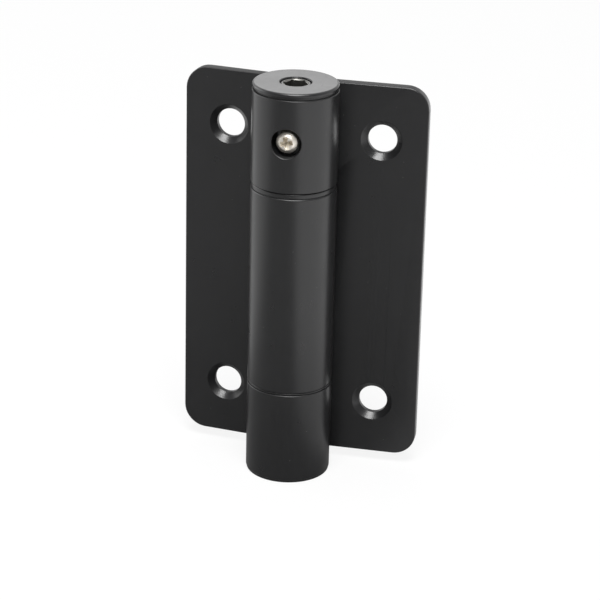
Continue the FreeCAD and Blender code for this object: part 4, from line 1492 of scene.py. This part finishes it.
@dataclass
class Studio:
    """White studio: pale floor, soft lights and the camera.

    Lengths are in metres, but for the lens, the sensor and the gap under the foot, which are in millimetres.
    Angles are in degrees. Where the floor mirrors in the hinge its glow is painted: a painted reflection, dim
    in front and bright to both sides as a table between two white cards would be, and a painted shadow, dimmer
    round the foot. Each pair named an edge is where such a change starts and ends: to the right, to the left,
    round the foot, and from the front to the back of the room.
    """

    floor_gap: float = 0.01
    floor_size: float = 12.0
    eye: tuple[float, float, float] = (0.100940, -0.490674, 0.200235)
    right: tuple[float, float, float] = (0.97820, 0.20647, 0.02238)
    up: tuple[float, float, float] = (-0.09872, 0.36745, 0.92479)
    lens: float = 143.586
    sensor: float = 36.0
    clip: float = 0.01
    white: str = "#ffffff"
    matt: str = "#e6e6e6"
    faint: str = "#5c5c5c"
    ambient: float = 0.55
    dim_front: float = 0.30
    front_edge: tuple[float, float] = (-0.6, 0.5)
    floor_glow: float = 0.84
    dim_floor: float = 0.33
    lit_right: float = 1.35
    right_edge: tuple[float, float] = (8.0, 17.0)
    lit_left: float = 0.95
    left_edge: tuple[float, float] = (-52.0, -28.0)
    # Painted shadow: the floor's mirrored glow is this much dimmer round the foot
    painted_foot_shade: float = 0.45
    near_edge: tuple[float, float] = (0.05, 0.13)
    fan_depth: float = 0.1

    def camera(self) -> None:
        """Set the camera up as the hinge was photographed."""
        data = bpy.data.cameras.new("Camera")
        data.lens = self.lens
        data.sensor_width = self.sensor
        data.clip_start = self.clip
        made = bpy.data.objects.new("Camera", data)
        right, up = Vector(self.right).normalized(), Vector(self.up).normalized()
        back = right.cross(up)
        turned = Matrix((right, up, back)).transposed().to_4x4()
        made.matrix_world = Matrix.Translation(self.eye) @ turned
        bpy.context.scene.collection.objects.link(made)
        bpy.context.scene.camera = made

    def painted_reflection(self, tree: bpy.types.NodeTree) -> bpy.types.NodeSocket:
        """Paint the floor's brightness where it mirrors in the hinge: painted reflection and painted shade.

        Args:
            tree: the floor's tree.

        Returns:
            The brightness, which fans out from a point behind the hinge.
        """
        place = add_node(tree, "ShaderNodeTexCoord").outputs["Object"]
        split = add_node(tree, "ShaderNodeSeparateXYZ", inputs={"Vector": place}).outputs
        ahead = add_node(tree, "ShaderNodeMath", {"operation": "SUBTRACT"}, {
            0: self.fan_depth, 1: split["Y"],
        }).outputs[0]
        heading = add_node(tree, "ShaderNodeMath", {"operation": "ARCTAN2"}, {
            0: split["X"], 1: ahead,
        }).outputs[0]
        # Painted reflection: the floor's mirrored glow brightens to the right and to the left, as white cards
        # would
        start, end = (math.radians(edge) for edge in self.right_edge)
        right = add_node(tree, "ShaderNodeMapRange", {"interpolation_type": "SMOOTHSTEP"}, {
            "Value": heading, "From Min": start, "From Max": end,
            "To Min": self.dim_floor, "To Max": self.lit_right,
        }).outputs["Result"]
        start, end = (math.radians(edge) for edge in self.left_edge)
        left = add_node(tree, "ShaderNodeMapRange", {"interpolation_type": "SMOOTHSTEP"}, {
            "Value": heading, "From Min": start, "From Max": end,
            "To Min": self.lit_left, "To Max": self.dim_floor,
        }).outputs["Result"]
        sides = add_node(tree, "ShaderNodeMath", {"operation": "MAXIMUM"}, {0: right, 1: left}).outputs[0]
        # Painted shadow: the mirrored glow is dimmer round the foot
        away = add_node(tree, "ShaderNodeVectorMath", {"operation": "LENGTH"}, {0: place}).outputs["Value"]
        foot_shade = add_node(tree, "ShaderNodeMapRange", {"interpolation_type": "SMOOTHSTEP"}, {
            "Value": away, "From Min": self.near_edge[0], "From Max": self.near_edge[1],
            "To Min": self.painted_foot_shade, "To Max": 1.0,
        }).outputs["Result"]
        return add_node(tree, "ShaderNodeMath", {"operation": "MULTIPLY"}, {0: sides, 1: foot_shade}).outputs[0]

    def floor(self) -> None:
        """Lay the floor, which looks white and keeps the object's shadow."""
        material, tree = new_surface("white studio floor")
        rays = add_node(tree, "ShaderNodeLightPath").outputs
        seen = add_node(tree, "ShaderNodeMath", {"operation": "MAXIMUM"}, {
            0: rays["Is Camera Ray"], 1: rays["Is Glossy Ray"],
        }).outputs[0]
        shown = add_node(tree, "ShaderNodeMath", {"operation": "MAXIMUM"}, {
            0: seen, 1: rays["Is Transmission Ray"],
        }).outputs[0]
        # Glossy rays see the painted reflection and painted shade; camera rays see an even white glow
        strength = add_node(tree, "ShaderNodeMix", {"data_type": "FLOAT"}, {
            "Factor": rays["Is Glossy Ray"], "A": self.floor_glow, "B": self.painted_reflection(tree),
        }).outputs["Result"]
        matt = add_node(tree, "ShaderNodeBsdfDiffuse", inputs={"Color": linear(self.matt)}).outputs[0]
        faint = add_node(tree, "ShaderNodeBsdfDiffuse", inputs={"Color": linear(self.faint)}).outputs[0]
        glow = add_node(tree, "ShaderNodeEmission", inputs={
            "Color": linear(self.white), "Strength": strength,
        }).outputs[0]
        bright = add_node(tree, "ShaderNodeAddShader", inputs={0: faint, 1: glow}).outputs[0]
        mixed = add_node(tree, "ShaderNodeMixShader", inputs={0: shown, 1: matt, 2: bright}).outputs[0]
        add_node(tree, "ShaderNodeOutputMaterial", inputs={"Surface": mixed})
        shell = bmesh.new()
        bmesh.ops.create_grid(shell, x_segments=1, y_segments=1, size=self.floor_size / 2)
        level = span("bottom_cap")[0] - self.floor_gap
        bmesh.ops.translate(shell, verts=shell.verts[:], vec=(0, 0, level * MM))
        made = as_object("studio_floor", shell)
        dress(made, material)

    def world(self) -> None:
        """Surround the scene with a white room that is dimmer on the camera's side."""
        room = bpy.data.worlds.new("White room")
        bpy.context.scene.world = room
        room.use_nodes = True
        tree = room.node_tree
        tree.nodes.clear()
        rays = add_node(tree, "ShaderNodeLightPath").outputs
        heading = add_node(tree, "ShaderNodeTexCoord").outputs["Generated"]
        split = add_node(tree, "ShaderNodeSeparateXYZ", inputs={"Vector": heading}).outputs
        behind = add_node(tree, "ShaderNodeMapRange", {"interpolation_type": "SMOOTHSTEP"}, {
            "Value": split["Y"], "From Min": self.front_edge[0], "From Max": self.front_edge[1],
            "To Min": self.dim_front, "To Max": 1.0,
        }).outputs["Result"]
        level = add_node(tree, "ShaderNodeMath", {"operation": "MULTIPLY"}, {0: behind, 1: self.ambient})
        glossy = add_node(tree, "ShaderNodeMix", {"data_type": "FLOAT"}, {
            "Factor": rays["Is Glossy Ray"], "A": level.outputs[0], "B": behind,
        }).outputs["Result"]
        seen = add_node(tree, "ShaderNodeMath", {"operation": "MAXIMUM"}, {
            0: rays["Is Camera Ray"], 1: rays["Is Transmission Ray"],
        })
        strength = add_node(tree, "ShaderNodeMix", {"data_type": "FLOAT"}, {
            "Factor": seen.outputs[0], "A": glossy, "B": 1.0,
        }).outputs["Result"]
        sky = add_node(tree, "ShaderNodeBackground", inputs={
            "Color": linear(self.white), "Strength": strength,
        })
        add_node(tree, "ShaderNodeOutputWorld", inputs={"Surface": sky.outputs[0]})

    def build(self) -> None:
        """Set up the camera, the floor, the room and the lamps."""
        self.camera()
        self.floor()
        self.world()
        for lamp in LAMPS:
            lamp.hang()


def main() -> None:
    """Build every sub-assembly in order and report each piece."""
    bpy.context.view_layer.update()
    bpy.context.scene.view_settings.view_transform = "Standard"
    Studio().build()
    coat, plate, keyed, nickel, turned, tempered = (
        finish.make() for finish in (COAT, SHEARED, KEYED, NICKEL, TURNED, TEMPERED)
    )

    made = [
        RolledLeaf(
            "frame_plate", "frame_leaf", "frame", Side.RIGHT,
            knuckles=((BARREL.upper_joint, BARREL.leaf_top), (BARREL.knuckle_bottom, BARREL.lower_joint)),
            window=True,
        ).build(plate),
        RolledLeaf(
            "door_plate", "door_leaf", "door", Side.LEFT,
            knuckles=((BARREL.middle_bottom, BARREL.middle_top),), fold=7.4, end_ease=0.34,
        ).build(plate),
        *BarrelCaps().build(coat),
        FlangedBush(
            "upper_bush_ring", "upper_bush", End.UPPER, inset=0.2, sleeve=5.0, rounding=0.25, has_dog=True,
        ).build(coat),
        FlangedBush(
            "lower_bush_ring", "lower_bush", End.LOWER, inset=0.1, sleeve=4.5, rounding=0.12,
        ).build(coat),
        TensionAdjuster().build(keyed),
        LockScrew().build(nickel),
        CoilSpring().build(tempered),
    ]
    for piece in made:
        log.info("%s: %d faces", piece.name, len(piece.data.polygons))

    for name, finish in {
        "thrust_washer": turned, "spring_collar": turned, "collar_pin": turned, "guide_rod": turned,
        "spring_anchor": turned, "bottom_spindle": turned, "retaining_ring": tempered,
    }.items():
        dress(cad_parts[name], finish)
        log.info("%s: %s", name, finish.name)


if __name__ == "__main__":
    main()
